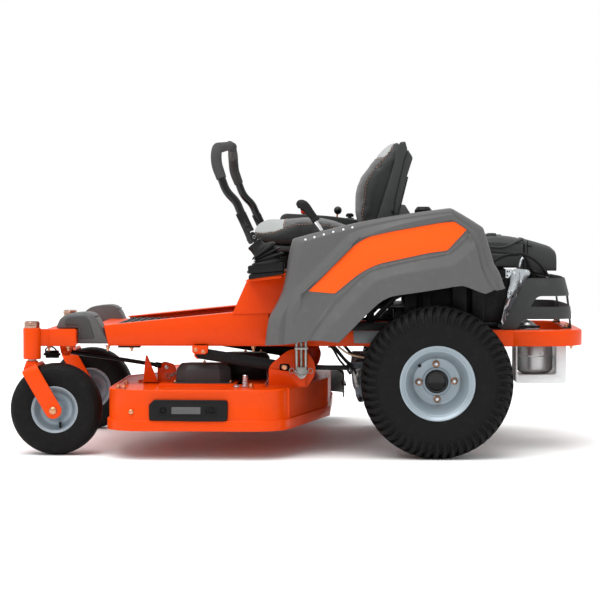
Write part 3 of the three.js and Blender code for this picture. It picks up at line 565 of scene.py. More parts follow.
# carcass from the bead up the sidewall to the crown: (out from the middle, radius)
CARCASS = [(79, 105), (84, 112), (88, 120), (92.5, 138), (94, 156), (93.4, 172), (90, 188), (84, 202),
           (74, 212), (58, 218.5), (36, 221), (12, 221.6)]


def across_carcass(x):
    """Carcass radius at a distance from the middle of the tread."""
    rows = CARCASS[:6:-1]
    x = abs(x)
    for (xa, ra), (xb, rb) in zip(rows, rows[1:]):
        if x <= xb:
            return ra + (rb - ra) * max(0, (x - xa) / (xb - xa))
    return rows[-1][1]


def wheel_point(x, radius, angle):
    return Vector((REAR_X + x, radius * math.sin(angle), REAR_R + radius * math.cos(angle)))


def rear_tyre(bm):
    outer = CARCASS + [(-x, r) for x, r in CARCASS[::-1]]
    inner = [(-70, 105), (-78, 150), (-70, 196), (0, 208), (70, 196), (78, 150), (70, 105)]
    ribs = [(86.4, 115), (88.6, 116), (88, 119)]
    profile = outer[:1] + ribs + outer[2:-2] + [(-x, r) for x, r in ribs[::-1]] + outer[-1:]
    turn(bm, profile + inner, "x", WHEEL, 108)
    pitch = 2 * math.pi / REAR_LUGS
    for i in range(REAR_LUGS):
        for side in (1, -1):
            start = pitch * (i + (0.5 if side < 0 else 0))
            # a shoulder lug runs from the upper sidewall over the shoulder on to the tread
            stations = [(92.6, 178, 0.6, 0.30), (91.6, 188, 3.4, 0.30), (86.5, 201.5, 5.2, 0.31),
                        (77, 213, 6.0, 0.32), (66, 221, 5.4, 0.33), (52, 222.6, 4.2, 0.30)]
            loops = []
            for k, (x, r, rise, half) in enumerate(stations):
                lean = pitch * 0.14 * max(0, k - 2) * (1 if side > 0 else -1)
                mid = start + lean
                nx = 1.0 if k < 2 else (0.8, 0.5, 0.2, 0.0)[k - 2]
                nr = 0.15 if k < 2 else (0.6, 0.87, 0.98, 1.0)[k - 2]
                loops.append([wheel_point(side * (x + nx * h), r + nr * h, mid + s * pitch * half * w)
                              for h, s, w in ((-3, -1, 1), (-3, 1, 1), (rise, 1, 0.78), (rise, -1, 0.78))])
            rings(bm, loops)
            # two rows of slanted blocks across each half of the tread
            for x0, x1, shift in ((30, 48, 0.45), (5, 26, 0.0)):
                lean = pitch * 0.32
                at = start + pitch * (shift + 0.3)
                loops = []
                for drop, w in ((-3, 1.0), (1, 0.86)):
                    corners = ((x0, -1, -lean), (x1, -1, lean), (x1, 1, lean), (x0, 1, -lean))
                    loops.append([wheel_point(
                        side * (x0 + x1) / 2 + side * (x - (x0 + x1) / 2) * w,
                        REAR_R - 0.4 if drop > 0 else across_carcass(x) + drop,
                        at + side * turned_by * 0.5 + s * pitch * 0.31 * w)
                        for x, s, turned_by in corners])
                rings(bm, loops)


def rear_rim(bm):
    turn(bm, [(-10, 34), (0, 34), (1.5, 36), (1.5, 41), (-1, 44), (-1, 66), (1, 70), (6, 73.5), (34, 78),
              (58, 84), (70, 91), (76, 95.5), (77.5, 99), (80, 100.5), (82, 104), (84.5, 106), (86, 109),
              (85.6, 112.4), (83, 113.2), (80, 112), (79, 103.4), (60, 102), (20, 92), (-40, 90),
              (-60, 102.6), (-79, 103.4), (-80, 112), (-83, 113), (-85, 110), (-82, 101), (-62, 98),
              (-42, 85), (-12, 84),
              (-10, 76), (-8, 66)],
         "x", WHEEL, 96)


def rear_hub(bm):
    turn(bm, [(-110, 0), (-110, 16), (-30, 17), (-14, 33), (-4, 33.4), (16, 33.4), (18, 31), (18, 28),
              (-2, 25), (-6, 0)], "x", WHEEL, 48)


NUT_PLACES = [wheel_point(-1, 53, math.pi / 2 * i - 0.03) for i in range(4)]


def wheel_nuts(bm):
    for spot in NUT_PLACES:
        turn(bm, [(0, 0), (0, 8), (9, 6.4), (13, 5.2), (13, 0)], "x", spot, 12)
        disc(bm, "x", spot, 4.4, 10, 17, 12, 0.8)


def nut_seats(bm):
    for spot in NUT_PLACES:
        turn(bm, [(0, 7.5), (0, 11.2), (2.2, 10.8), (3.2, 9.4), (2, 7.5)], "x", spot, 24)


def valve(bm, centre, out_from, out_to, angle, x0, x1, size):
    a = math.radians(angle)
    root = centre + Vector((x0, out_from * math.cos(a), out_from * math.sin(a)))
    tip = centre + Vector((x1, out_to * math.cos(a), out_to * math.sin(a)))
    route = [root.lerp(tip, t) for t in (0, 0.5, 0.52, 0.6, 0.62, 1.0)]
    tube(bm, route, [size * 1.3, size, size * 0.7, size * 0.7, size * 1.05, size], 16)


pair("rear_tyre", rear_tyre, tyre_rubber, "{}_rear_wheel", ["{}_rear_tyre"], sharp=40)
pair("rear_rim", rear_rim, rim_paint, "{}_rear_wheel", ["{}_rear_rim"], sharp=28)
pair("wheel_hub", rear_hub, gloss_black, "{}_rear_wheel", sharp=30)
pair("wheel_nuts", wheel_nuts, bright_alloy, "{}_rear_wheel", sharp=25)
pair("nut_seats", nut_seats, zinc, "{}_rear_wheel")
pair("rear_valve", lambda bm: valve(bm, WHEEL, 70, 84, 137, 8, 34, 4.2), rubber, "{}_rear_wheel")


# ---------- casters ----------
CASTER_X = 386
PIVOT_Y = -1233
AXLE_Y = -1158
CASTER_R = 139.7
CASTER = Vector((CASTER_X, AXLE_Y, CASTER_R))
FORK_UP = Vector((0, PIVOT_Y - AXLE_Y, 130)).normalized()
FORK_ACROSS = Vector((0, FORK_UP.z, -FORK_UP.y))


def caster_tyre(bm):
    half = [(41.5, 66), (43.5, 70), (46, 75), (48.8, 88), (50, 101), (49.4, 112), (46.5, 122), (43.4, 127.2),
            (42.2, 127.4), (41, 129.6), (34, 134.5), (24, 138), (13, 139.5), (9.5, 139.6), (8.6, 137.4),
            (7, 137.2), (6, 139.6), (0, 139.7)]
    back = [(-x, r) for x, r in half[::-1]][1:]
    inner = [(-36, 66), (-40, 96), (-30, 122), (0, 128), (30, 122), (40, 96), (36, 66)]
    turn(bm, half + back + inner, "x", CASTER, 96)


def caster_rim(bm):
    half = [(57, 14), (57, 22), (54, 24), (34, 26), (20, 29), (13, 34), (9, 42), (9, 47), (12, 52), (20, 56),
            (33, 59), (38, 61.5), (41, 63), (43, 66.5), (44.6, 69), (44, 71), (42.4, 71.2), (41, 70),
            (40.6, 65)]
    turn(bm, half + [(-x, r) for x, r in half[::-1]], "x", CASTER, 80)


def fork_point(x, up, across):
    return CASTER + FORK_UP * up + FORK_ACROSS * across + Vector((x, 0, 0))


def fork(bm):
    # the crown and the tops of the legs: a bar bent into a U, its section square to the lean
    outer = bent([(74, 20, 0), (74, 150, 0), (-74, 150, 0), (-74, 20, 0)], 24, 8)
    inner = bent([(65, 20, 0), (65, 141, 0), (-65, 141, 0), (-65, 20, 0)], 15, 8)
    loops = []
    for a, b in zip(outer, inner):
        loops.append([fork_point(a.x, a.y, -25), fork_point(a.x, a.y, 25), fork_point(b.x, b.y, 25),
                      fork_point(b.x, b.y, -25)])
    rings(bm, loops)
    foot = arc(0, 0, 25, 180, 360, 14) + [(25, 21), (-25, 21)]
    for side in (1, -1):
        rings(bm, [[fork_point(side * x, up, across) for across, up in foot] for x in (65, 74)])
        disc(bm, "x", CASTER + Vector((side * 61, 0, 0)), 17, -4, 4, 32, 1)
    # the stem's foot, a wedge on the crown, and the weld collar
    turn(bm, [(0, 0), (0, 19), (22, 21), (34, 17.5), (36, 0)], "z", (CASTER_X, PIVOT_Y, 252), 40)
    prism(bm, [(PIVOT_Y - 24, 258), (PIVOT_Y + 22, 258), (PIVOT_Y + 14, 282), (PIVOT_Y - 16, 282)], "x",
          CASTER_X - 22, CASTER_X + 22)


def caster_bolt(bm):
    for side in (1, -1):
        dome(bm, (side, 0, 0), CASTER + Vector((side * 74, 0, 0)), 12.6, 8)
    disc(bm, "x", CASTER, 8, -73, 73, 24)


def caster_cap(bm):
    turn(bm, [(0, 0), (0, 23.4), (1, 24), (6, 24), (7, 22.8), (8.5, 22.8), (9.5, 24), (14, 24), (15, 22.8),
              (16, 22.8), (17, 23.6), (19, 23), (21, 19), (21, 0)], "z", (CASTER_X, PIVOT_Y, 386.5), 48)


pair("caster_tyre", caster_tyre, tyre_rubber, "{}_caster_wheel", ["{}_caster_tyre"], sharp=50)
pair("caster_rim", caster_rim, rim_paint, "{}_caster_wheel", ["{}_caster_rim"], sharp=28)
pair("caster_valve", lambda bm: valve(bm, CASTER, 45, 58, -74, 16, 34, 3.4), rubber, "{}_caster_wheel")
pair("caster_fork", fork, orange, "{}_caster", ["{}_caster_fork"], bevel=1.6, segments=3)
pair("caster_bolt", caster_bolt, zinc, "{}_caster", sharp=60)
pair("caster_cap", caster_cap, bronze, "{}_caster", sharp=40)
pair("caster_stem", lambda bm: disc(bm, "z", (CASTER_X, PIVOT_Y, 0), 13, 284, 388, 32), steel_plain,
     "{}_caster")


# ---------- frame ----------
def axle_beam(bm):
    section = soften(rectangle(-1205, -1103, 331, 380), 9)
    prism(bm, section, "x", -366, 366)
    for side in (1, -1):
        # the tube's end flares where it is welded round the caster tube
        flare = soften(rectangle(-1222, -1101, 329.5, 381.5), 9)
        prism(bm, flare, "x", *span(side, 342, 374))
        prism(bm, soften([(side * 344, -1235), (side * 400, -1235), (side * 374, -1180), (side * 344, -1180)],
                         4),
              "z", 332, 380)
        turn(bm, [(291, 17), (291, 25), (293, 27), (384, 27), (386, 25), (386, 17)], "z",
             (side * CASTER_X, PIVOT_Y, 0), 56)


def link_lugs(bm):
    for x in (223, 249):
        prism(bm, soften([(-1172, 335), (-1164, 292, 12), (-1136, 292, 12), (-1128, 335)], 3), "x", x - 3,
              x + 3)
    disc(bm, "x", (236, -1150, 305), 6, -22, 22, 16)
    nut(bm, "x", (253, -1150, 305), 13, 7, 3)


piece("front_axle_beam", lambda bm: (axle_beam(bm), link_lugs(bm)), orange, nodes=["front_axle_beam"],
      bevel=1.2)


def rail_tube(bm):
    prism(bm, soften(rectangle(276, 326, 328, 378), 5), "y", -512, 238.4)


def floor_side(bm):
    # the side plate of the floor: a folded sheet with its bright lower edge turned in
    outer = soften([(-1008, 330, 3), (-1021, 391, 4), (-620, 432, 8), (-512, 432, 2), (-512, 330, 2)], 3)
    prism(bm, outer, "x", 321, 326)
    prism(bm, soften(rectangle(276, 326, 328, 334), 2), "y", -1008, -512)
    top = [(-1020, 391), (-620, 432), (-512, 432), (-512, 428), (-620, 428), (-1019, 387)]
    prism(bm, top, "x", 276, 325)
    prism(bm, [(-742, 335), (-742, 296), (-734, 288), (-706, 288), (-698, 296), (-698, 335)], "x", 320, 326)


pair("frame_rail", lambda bm: (rail_tube(bm), floor_side(bm)), orange, nodes=["{}_frame_rail"], bevel=1.4)
pair("shaft_lug", lambda bm: (disc(bm, "x", (300, -260, 398), 22, -5, 5, 32),
                              block(bm, 296, 304, -282, -238, 376, 398)), black)


def under_bolts(bm):
    for x, y, z in ((300, -1012, 327), (300, -938, 327), (345, -1188, 330), (345, -1128, 330),
                    (300, -560, 327)):
        nut(bm, (0, 0, -1), (x, y, z), 12, 9, 8)
    nut(bm, "x", (326, -720, 306), 15, 8, 4)


pair("frame_bolts", under_bolts, zinc, bevel=0.4)
pair("rail_plate", lambda bm: block(bm, 280, 322, -978, -910, 322, 327.6), black, bevel=1)


def footrest(bm):
    # the moulded cap over the floor's front corner, lofted inwards with a raised panel
    line = [(-1171, 382), (-1158, 411), (-1139, 424), (-1108, 429), (-1076, 431), (-1056, 426), (-1042, 408),
            (-1005, 334), (-1102.6, 334), (-1102.6, 382)]
    middle = Vector((-1088, 388))

    def loop(x, shrink):
        return [(x, *(Vector(p) + (middle - Vector(p)).normalized() * min(shrink, 14)))
                for p in soften(line, 7, 4)]
    rings(bm, [loop(232, 0), loop(316, 0), loop(323, 1.5), loop(327, 5.5), loop(328.6, 11)])


def footrest_rib(bm):
    prism(bm, soften([(-1140, 408), (-1128, 416), (-1082, 420), (-1066, 408), (-1050, 352), (-1094, 350),
                      (-1094, 392), (-1140, 392)], 5, 4), "x", 322, 332.5)
    for i in range(4):
        y = -1048 + i * 6
        z = 418 - i * 18
        tube(bm, [(240, y, z), (316, y, z)], 2.6, 10)


# a thin black sheet inboard of the rear wheel: painted shade for the dark inside of the wheel well
def wheel_well_shade(bm):
    prism(bm, soften([(-66, 398), (-66, 520), (214, 520), (228, 500), (206, 398)], 8), "x", 230, 232.5)


pair("wheel_well_shade", wheel_well_shade, black, bevel=0.6)
pair("footrest", footrest, grey, nodes=["{}_footrest"], bevel=1)
# the side panel and ribs are drawn in darker grey: painted shade on the grey footrest
pair("footrest_panel", footrest_rib, painted_shade_grey, bevel=2.4, segments=4)


def floor_pan(bm):
    prism(bm, [(-1100, 346), (-1100, 374), (-1072, 385), (-1034, 384), (-640, 384), (-622, 431), (-622, 425),
               (-638, 380), (-1035, 380), (-1072, 381), (-1096, 371), (-1096, 346)], "x", -275, 275)


piece("floor_pan", floor_pan, orange, nodes=["floor_pan"], bevel=1)


def floor_mat(bm):
    prism(bm, soften([(-230, -1006), (230, -1006), (262, -976), (262, -650), (-262, -650), (-262, -976)], 14),
          "z", 384.2, 387)
    for i in range(17):
        for x in (-196, -98, 0, 98, 196):
            y = -990 + i * 21
            prism(bm, soften([(x - 38, y - 3), (x + 38, y - 3), (x + 38, y + 3), (x - 38, y + 3)], 3, 3), "z",
                  386, 390)


piece("floor_mat", floor_mat, rubber, bevel=0.8)


def seat_box(bm):
    line = soften([(-624, 427, 2), (-578, 531, 6), (-566, 540, 12), (-462, 550, 3), (-300, 552, 3),
                   (-300, 432.2, 2)], 3)
    prism(bm, line, "x", -329, 329)


def seat_box_inside(bm):
    prism(bm, [(-614, 410), (-574, 527), (-566, 533), (-462, 545), (-290, 547), (-290, 410)], "x", -325, 325)


def seat_box_fittings(bm):
    prism(bm, soften([(-578, 531), (-566, 539), (-467, 549), (-467, 541), (-566, 530)], 2), "x", -440, 440)
    for side in (1, -1):
        prism(bm, soften([(-562, 536), (-556, 606, 12), (-524, 606, 12), (-518, 542)], 2), "x",
              side * 150 - 3, side * 150 + 3)


piece("seat_box", seat_box, orange, nodes=["seat_box"], cuts=[seat_box_inside], bevel=1.4)
piece("seat_box_fittings", seat_box_fittings, orange, bevel=1)


LIP_INSET = 46
LIP_R = 70


def bumper(bm):
    def outline(inset, r):
        x, y = 326 - inset, 457 - inset
        return ([(x, 238.4)] + arc(x - r, y - r, r, 0, 90, 14) + arc(-x + r, y - r, r, 90, 180, 14)
                + [(-x, 238.4)])
    loops = []
    for inset, z in ((0, 332), (0, 374), (3, 378), (LIP_INSET, 378), (LIP_INSET, 372), (9, 371), (6, 368),
                     (5, 329), (1, 329)):
        loops.append([(x, y, z) for x, y in outline(inset, LIP_R if inset == LIP_INSET else 110 - inset)])
    rings(bm, [list(column) for column in zip(*loops)])


piece("rear_bumper", bumper, orange, nodes=["rear_bumper"], bevel=1.0)


def subframe(bm):
    block(bm, -252, 252, -296, -90, 440, 446)
    for side in (1, -1):
        for y in (-200, -110):
            prism(bm, soften(rectangle(*span(side, 226, 252), y - 12, y + 12), 3), "z", 366, 443)
        block(bm, *span(side, 248, 275), -296, 236, 366, 372)
        # upright channel and brace inside the fender, over the wheel
        for y0, y1 in ((-96, -58), (-40, -14), (52, 96), (112, 150)):
            prism(bm, soften(rectangle(*span(side, 262, 288), y0, y1), 3), "z", 379, 600 if y0 > 0 else 500)
        prism(bm, [(-226, 379), (-210, 379), (-120, 470), (-20, 520), (-20, 534), (-128, 484)], "x",
              *span(side, 270, 284))
    block(bm, -275, 275, -212, -188, 366, 372)
    prism(bm, rectangle(-275, 275, 10, 236), "z", 366, 372, [arc(0, 130, 40, 0, 345, 23)])


piece("rear_subframe", subframe, black, nodes=["rear_subframe"], bevel=1)


# ---------- fenders ----------
# Lines along the fender from its front foot, over the top, to its tail. Each point is
# (out, back, up); the skin is drawn across the lines at the same step along each.
FENDER_LINES = [
    # inner edge of the top
    [(262, -516, 340), (262, -513, 380), (262, -507, 424), (262, -492, 450), (262, -464, 503),
     (262, -456, 559), (262, -446, 622), (262, -438, 655), (262, -360, 678), (262, -255, 703),
     (262, -150, 724), (262, -50, 739),
     (262, 40, 750), (262, 92, 722), (262, 137, 692), (262, 150, 655), (262, 172, 583), (262, 188, 562),
     (262, 203, 511)],
    # crown, just inside the outer corner
    [(450, -518, 340), (450, -515, 380), (448, -509, 424), (446, -493, 450), (446, -465, 503),
     (446, -457, 559), (446, -447, 624), (446, -436, 661), (446, -360, 681), (446, -255, 706),
     (446, -150, 727), (446, -50, 741),
     (446, 42, 753), (446, 94, 724), (446, 139, 694), (446, 152, 655), (446, 173, 583), (446, 189, 563),
     (446, 204, 511)],
    # outer corner, top side
    [(482, -512, 340), (481, -509, 380), (478, -502, 421), (474, -482, 446), (476, -452, 500),
     (476, -444, 555), (476, -435, 614), (476, -422, 655), (478, -357, 676), (480, -253, 702),
     (480, -150, 723), (480, -50, 737),
     (479, 38, 749), (477, 90, 718), (476, 134, 690), (476, 147, 653), (477, 166, 583), (479, 183, 560),
     (480, 198, 510)],
    # outer corner, side
    [(501, -478, 342), (500, -476, 378), (499, -471, 414), (497, -460, 436), (492, -432, 492),
     (492, -424, 545), (492, -415, 598), (491, -401, 649), (490, -345, 666), (489, -253, 690),
     (489, -150, 715), (489, -50, 730),
     (488, 36, 741), (488, 84, 710), (486, 124, 684), (487, 136, 648), (489, 153, 583), (491, 172, 553),
     (493, 188, 508)],
    # first crease, from the front corner up to the top edge
    [(500, -462, 343), (500, -461, 379), (499, -458, 414), (499, -452, 436), (498, -430, 500),
     (497, -414, 524), (496, -396, 542), (495, -368, 570), (494, -325, 614), (493, -258, 681),
     (493, -150, 708), (493, -52, 725),
     (492, 38, 737), (492, 80, 704), (491, 118, 678), (492, 130, 645), (494, 146, 582), (496, 166, 549),
     (498, 182, 507)],
    # second crease, running on along the top
    [(502, -456, 344), (502, -455, 378), (502, -452, 410), (502, -447, 436), (502, -424, 470),
     (501, -402, 492), (500, -374, 520), (500, -334, 560), (500, -290, 604), (500, -236, 659),
     (499, -150, 693), (499, -54, 716),
     (499, 42, 732), (499, 76, 698), (498, 110, 674), (499, 123, 642), (500, 140, 581), (502, 160, 545),
     (503, 176, 507)],
    # upper rim of the sunk band
    [(504, -440, 346), (504, -438, 374), (504, -434, 402), (504, -427, 426), (504, -408, 462),
     (499, -406, 492), (499, -366, 532), (499, -322, 577), (499, -278, 622), (499, -238, 659),
     (499, -150, 682), (499, -50, 699),
     (499, 44, 716), (499, 66, 704), (499, 94, 684), (501, 112, 640), (503, 130, 580), (504, 152, 540),
     (504, 168, 507)],
    # floor of the sunk band, upper
    [(504, -434, 347), (504, -432, 373), (504, -428, 400), (503, -421, 423), (501, -402, 458),
     (493, -400, 489), (493, -361, 529), (493, -317, 574), (493, -273, 619), (493, -235, 656),
     (493, -149, 678), (493, -50, 695),
     (493, 42, 712), (493, 62, 701), (493, 88, 684), (500, 107, 638), (503, 127, 579), (504, 149, 537),
     (504, 165, 507)],
    # floor of the sunk band, lower
    [(505, -392, 353), (505, -384, 371), (505, -374, 391), (504, -364, 406), (501, -346, 430),
     (493, -305, 492), (493, -287, 502), (493, -255, 530), (493, -221, 562), (493, -187, 578),
     (493, -130, 590), (493, -50, 606),
     (493, 29, 621), (493, 55, 642), (493, 86, 679), (500, 101, 634), (503, 122, 577), (505, 145, 530),
     (505, 161, 507)],
    # lower rim of the sunk band
    [(505, -386, 355), (505, -378, 372), (505, -367, 391), (505, -356, 407), (504, -338, 428),
     (499, -301, 487), (499, -283, 497), (499, -251, 525), (499, -218, 557), (499, -186, 573),
     (499, -130, 585), (499, -50, 601),
     (499, 31, 616), (499, 60, 639), (499, 92, 676), (501, 104, 632), (503, 123, 576), (505, 146, 528),
     (505, 162, 507)],
    # third crease
    [(505, -379, 356), (505, -370, 372), (505, -357, 391), (505, -346, 407), (505, -333, 424),
     (502, -311, 450), (501, -290, 474), (500, -261, 505), (500, -232, 537), (500, -200, 561),
     (500, -140, 577), (500, -52, 597),
     (500, 36, 612), (500, 64, 634), (500, 100, 670), (502, 110, 630), (504, 126, 575), (506, 148, 526),
     (506, 163, 506)],
    # fourth crease: where the side falls to the arch
    [(509, -354, 357), (509, -344, 368), (509, -330, 383), (509, -316, 397), (510, -300, 413),
     (510, -283, 430), (510, -264, 450), (510, -238, 478), (510, -210, 508), (510, -184, 533),
     (510, -139, 546), (510, -53, 564),
     (510, 44, 577), (509, 78, 600), (507, 114, 640), (507, 120, 612), (507, 131, 570), (508, 149, 522),
     (508, 163, 505)],
    # edge of the arch
    [(510, -294, 350), (510, -282, 362), (510, -268, 376), (510, -250, 394), (510, -233, 412),
     (510, -212, 433), (510, -192, 452), (510, -175, 467), (510, -156, 480), (510, -134, 488),
     (510, -104, 493), (510, -50, 500),
     (510, 30, 513), (510, 56, 518), (509, 74, 519), (509, 92, 514), (509, 108, 507), (509, 128, 499),
     (509, 141, 496)],
    # the arch's turned-in lip
    [(498, -290, 352), (498, -278, 364), (498, -264, 378), (498, -246, 396), (498, -229, 415),
     (498, -208, 437), (498, -188, 457), (498, -171, 472), (498, -153, 484), (498, -132, 492),
     (498, -103, 497), (498, -50, 504),
     (498, 30, 517), (498, 56, 522), (498, 74, 523), (498, 92, 518), (498, 107, 511), (498, 127, 503),
     (498, 140, 500)],
]
# sharpness of the bends at some stations, millimetres that some lines stand out, sharpness of the lines
FENDER_BENDS = {3: 0.45, 5: 0.6, 7: 0.75, 9: 0.35, 12: 0.7, 14: 0.6, 16: 0.6}
FENDER_RELIEF = {3: -3, 4: -6, 10: -3, 11: 3, 12: 3}
FENDER_CREASES = {0: 1.0, 2: 0.35, 3: 0.8, **{row: 0.95 for row in range(4, 11)}, 11: 0.9, 12: 0.9, 13: 1.0}


def fender_skin(mirror):
    """The fender as one creased sheet, before it is thickened."""
    bm = bmesh.new()
    layer = bm.edges.layers.float.new("crease_edge")
    points = bm.verts.layers.float.new("crease_vert")
    grid = [[bm.verts.new((mirror * (x + FENDER_RELIEF.get(row, 0)), y, z)) for x, y, z in line]
            for row, line in enumerate(FENDER_LINES)]
    for a, b in zip(grid, grid[1:]):
        for i in range(len(a) - 1):
            bm.faces.new((a[i], a[i + 1], b[i + 1], b[i])[::-mirror])
    for row, sharpness in FENDER_CREASES.items():
        for a, b in zip(grid[row], grid[row][1:]):
            bm.edges.get((a, b))[layer] = sharpness
    for a, b in zip(grid, grid[1:]):
        for end in (0, -1):
            bm.edges.get((a[end], b[end]))[layer] = 1.0
        for station, sharpness in FENDER_BENDS.items():
            bm.edges.get((a[station], b[station]))[layer] = sharpness
    for row in grid:
        for end in (0, -1):
            row[end][points] = 1.0
    return bm


def fender_slot(bm):
    prism(bm, soften(rectangle(400, 418, -409, -244), 8.5), "z", 600, 760)


def fender(side, hand, cuts):
    obj = place(f"{hand}_fender", fender_skin(side))
    set_modifier(obj, "SUBSURF", levels=3, render_levels=3)
    set_modifier(obj, "SOLIDIFY", thickness=4 * MM, offset=-1)
    settle(obj)
    carve(obj, *cuts)
    dress(obj, grey, "chassis", [f"{hand}_fender"], sharp=50)


fender(1, "left", [fender_slot])
fender(-1, "right", [lambda bm: disc(bm, "z", (-330, -21, 0), 31.5, 690, 770, 40, 0.1)])


def fender_band(bm):
    # plain two-tone film in the sunk band
    prism(bm, soften([(-385, 503, 4), (-246, 643, 24), (-194, 671, 30), (-24, 703, 60), (53, 711, 8),
                      (86, 687, 2), (28, 624, 8), (-23, 618, 40), (-179, 584, 40), (-231, 558, 40),
                      (-276, 521, 12), (-306, 496, 6)], 6), "x", 492, 494.6)


pair("fender_band", fender_band, decal, bevel=0.3)


def height_marks(bm):
    for y, z in ((-394, 657), (-367, 664), (-339, 672), (-311, 680), (-281, 687), (-254, 693)):
        turn(bm, [(-1, 0), (-1, 3.4), (0.9, 3.2), (1.5, 2.4), (1.5, 0)], (0.8, -0.12, 0.6), (484.5, y, z), 20)


piece("height_marks", height_marks, lamp_white)


# ---------- mower deck ----------
SPINDLES = (("left", 262, -717), ("right", -262, -622))


def deck_line(grow):
    r = 100 + grow
    return (arc(445, -888, r, -90, 0, 14) + arc(445, -545, r, 0, 76, 12) + [(50 + grow * 0.25, -336 + grow)]
            + arc(-445, -436, r, 90, 180, 14) + arc(-445, -805, r, 180, 270, 14)
            + [(-160, -905 - grow), (-20, -988 - grow)])


def deck_shell(bm):
    levels = [(-40, 207.4), (-9, 208), (-5, 210.5), (-1, 210.5), (0.6, 208.5), (0.6, 202), (0, 200.5),
              (0, 120.5), (1, 120), (5.6, 119.4), (6.4, 118), (6.2, 91), (6.2, 90), (6.2, 88), (0.5, 88),
              (0.5, 112), (-4, 116),
              (-4, 203), (-9, 204)]
    rings(bm, [[(x, y, z) for x, y in deck_line(grow)] for grow, z in levels])


def discharge(bm):
    block(bm, -580, -505, -690, -425, 60, 190)


def spindle_bore(bm):
    for _, x, y in SPINDLES:
        disc(bm, "z", (x, y, 0), 15, 190, 230, 24, 0.1)


def deck_fittings(bm):
    # front brackets
    prism(bm, soften([(-909, 206), (-900, 294, 4), (-895, 294, 4), (-860, 206)], 2), "x", 247, 252)
    block(bm, 215, 252, -905, -862, 206.5, 210.5)
    prism(bm, soften([(-867, 206), (-867, 262, 8), (-845, 273, 8), (-813, 264, 10), (-795, 206)], 4), "x",
          214, 218.5,
          [arc(-838, 254, 6, 0, 340, 17)])
    # rear brackets: plates with a curved top over the side arms, and their feet
    for side in (1, -1):
        plate = soften([(-510, 206), (-510, 268, 14), (-484, 292, 14), (-446, 321, 18), (-404, 319, 26),
                        (-378, 296, 20), (-366, 262, 14), (-374, 232, 8), (-392, 206)], 6)
        slot = soften([(-478, 254), (-446, 254), (-446, 276), (-478, 276)], 8, 4)
        prism(bm, plate, "x", *span(side, 347, 351), [slot])
        block(bm, *span(side, 347, 368), -508, -394, 206.5, 211)
        prism(bm, soften([(-510, 211), (-398, 211), (-398, 246), (-510, 262)], 3), "x",
              *span(side, 364, 368))
    # pressed and welded plates on the deck's top
    prism(bm, soften([(-20, -930), (200, -930), (200, -905), (-20, -905)], 6), "z", 206, 213)
    prism(bm, soften([(150, -610), (380, -610), (380, -520), (150, -520)], 18), "z", 206, 212)
    prism(bm, soften([(-360, -780), (-160, -780), (-160, -460), (-360, -460)], 40), "z", 206, 212)
    prism(bm, soften([(160, -850), (366, -850), (366, -590), (160, -590)], 44), "z", 206, 212)


def deck_seams(bm):
    # upright seams at both ends of the slanting rear wall
    for x, y in ((470, -447), (62, -341)):
        prism(bm, soften([(x - 2, y - 5), (x + 2, y - 5), (x + 2, y + 4), (x - 2, y + 4)], 1), "z", 92, 210)


piece("deck_shell", deck_shell, orange, "deck", ["deck_shell"], [discharge, spindle_bore], bevel=0.5,
      segments=1, sharp=35)
piece("deck_brackets", deck_fittings, orange, "deck", bevel=1.1)
piece("deck_seams", deck_seams, orange, "deck", bevel=0.8)


def deck_bolts(bm):
    for x, y in ((470, -958), (484, -940), (300, -955), (430, -560), (-430, -560), (150, -470)):
        nut(bm, "z", (x, y, 209.5), 12, 8, 4)
    dome(bm, "x", (545, -911, 145), 8, 5)
    for y in (-905, -870):
        nut(bm, "z", (232, y, 210), 11, 7, 3)


def hose_fitting(bm):
    turn(bm, [(0, 0), (0, 12), (5, 12), (6, 8), (10, 8), (11, 10.5), (13, 10.5), (15, 7.5), (18, 9.5),
              (20, 9.5), (22, 7), (25, 9), (27, 9), (29, 6.6), (33, 8.4), (36, 6), (36, 0)], "z", (400, -580,
              209), 32)
    nut(bm, "z", (402, -606, 209), 15, 7, 0)


piece("deck_bolts", deck_bolts, zinc, "deck", bevel=0.4)
piece("hose_fitting", hose_fitting, bright_alloy, "deck", sharp=50)


def badge(bm):
    line = soften([(-857, 121, 6), (-857, 167, 4), (-842, 182, 4), (-626, 181, 6), (-622, 174, 5),
                   (-623, 124, 6), (-630, 118, 5), (-740, 117, 60)], 4, 5)
    loft(bm, line, ((541, 1), (551, 1), (555, 0.985), (556.5, 0.95)), (-740, 150))


def badge_holes(bm):
    disc(bm, "x", (0, -814, 151), 11, 550, 562, 32, 0.2)
    prism(bm, soften(rectangle(-689, -652, 141, 163), 11), "x", 550, 562)


def badge_plate(bm):
    prism(bm, soften(rectangle(-789, -703, 140, 161), 1.5), "x", 555, 557.4)


def badge_bolts(bm):
    dome(bm, "x", (550, -814, 151), 7.5, 4)
    dome(bm, "x", (550, -670, 152), 7.5, 4)


piece("deck_badge", badge, black_plastic, "deck", slot="charcoal_plastic", cuts=[badge_holes], bevel=0.8)
piece("deck_badge_plate", badge_plate, grey, "deck", bevel=0.5)
piece("deck_badge_bolts", badge_bolts, black, "deck")


def belt_cover(x, y):
    def make(bm):
        # a moulded cover: drafted walls, cut corners, chamfered shoulders and a flat top
        loops = []
        for w, l, cut, z in ((52, 86, 32, 208.4), (50, 83, 31, 252), (49, 82, 31, 256), (42, 72, 27, 268.5),
                             (39, 69, 26, 271), (8, 20, 4, 271)):
            outline = [(-w + cut, -l), (w - cut, -l), (w, -l + cut), (w, l - cut), (w - cut, l),
                       (-w + cut, l),
                       (-w, l - cut), (-w, -l + cut)]
            loops.append([(x + px, y + py, z) for px, py in soften(outline, 2.5, 3)])
        rings(bm, loops)
        # foot flange
        rings(bm, [[(x + px, y + py, z) for px, py in soften([(-62, -92), (62, -92), (62, 92), (-62, 92)], 16,
                                                             4)]
                   for z in (211.8, 214.5)])
    return make


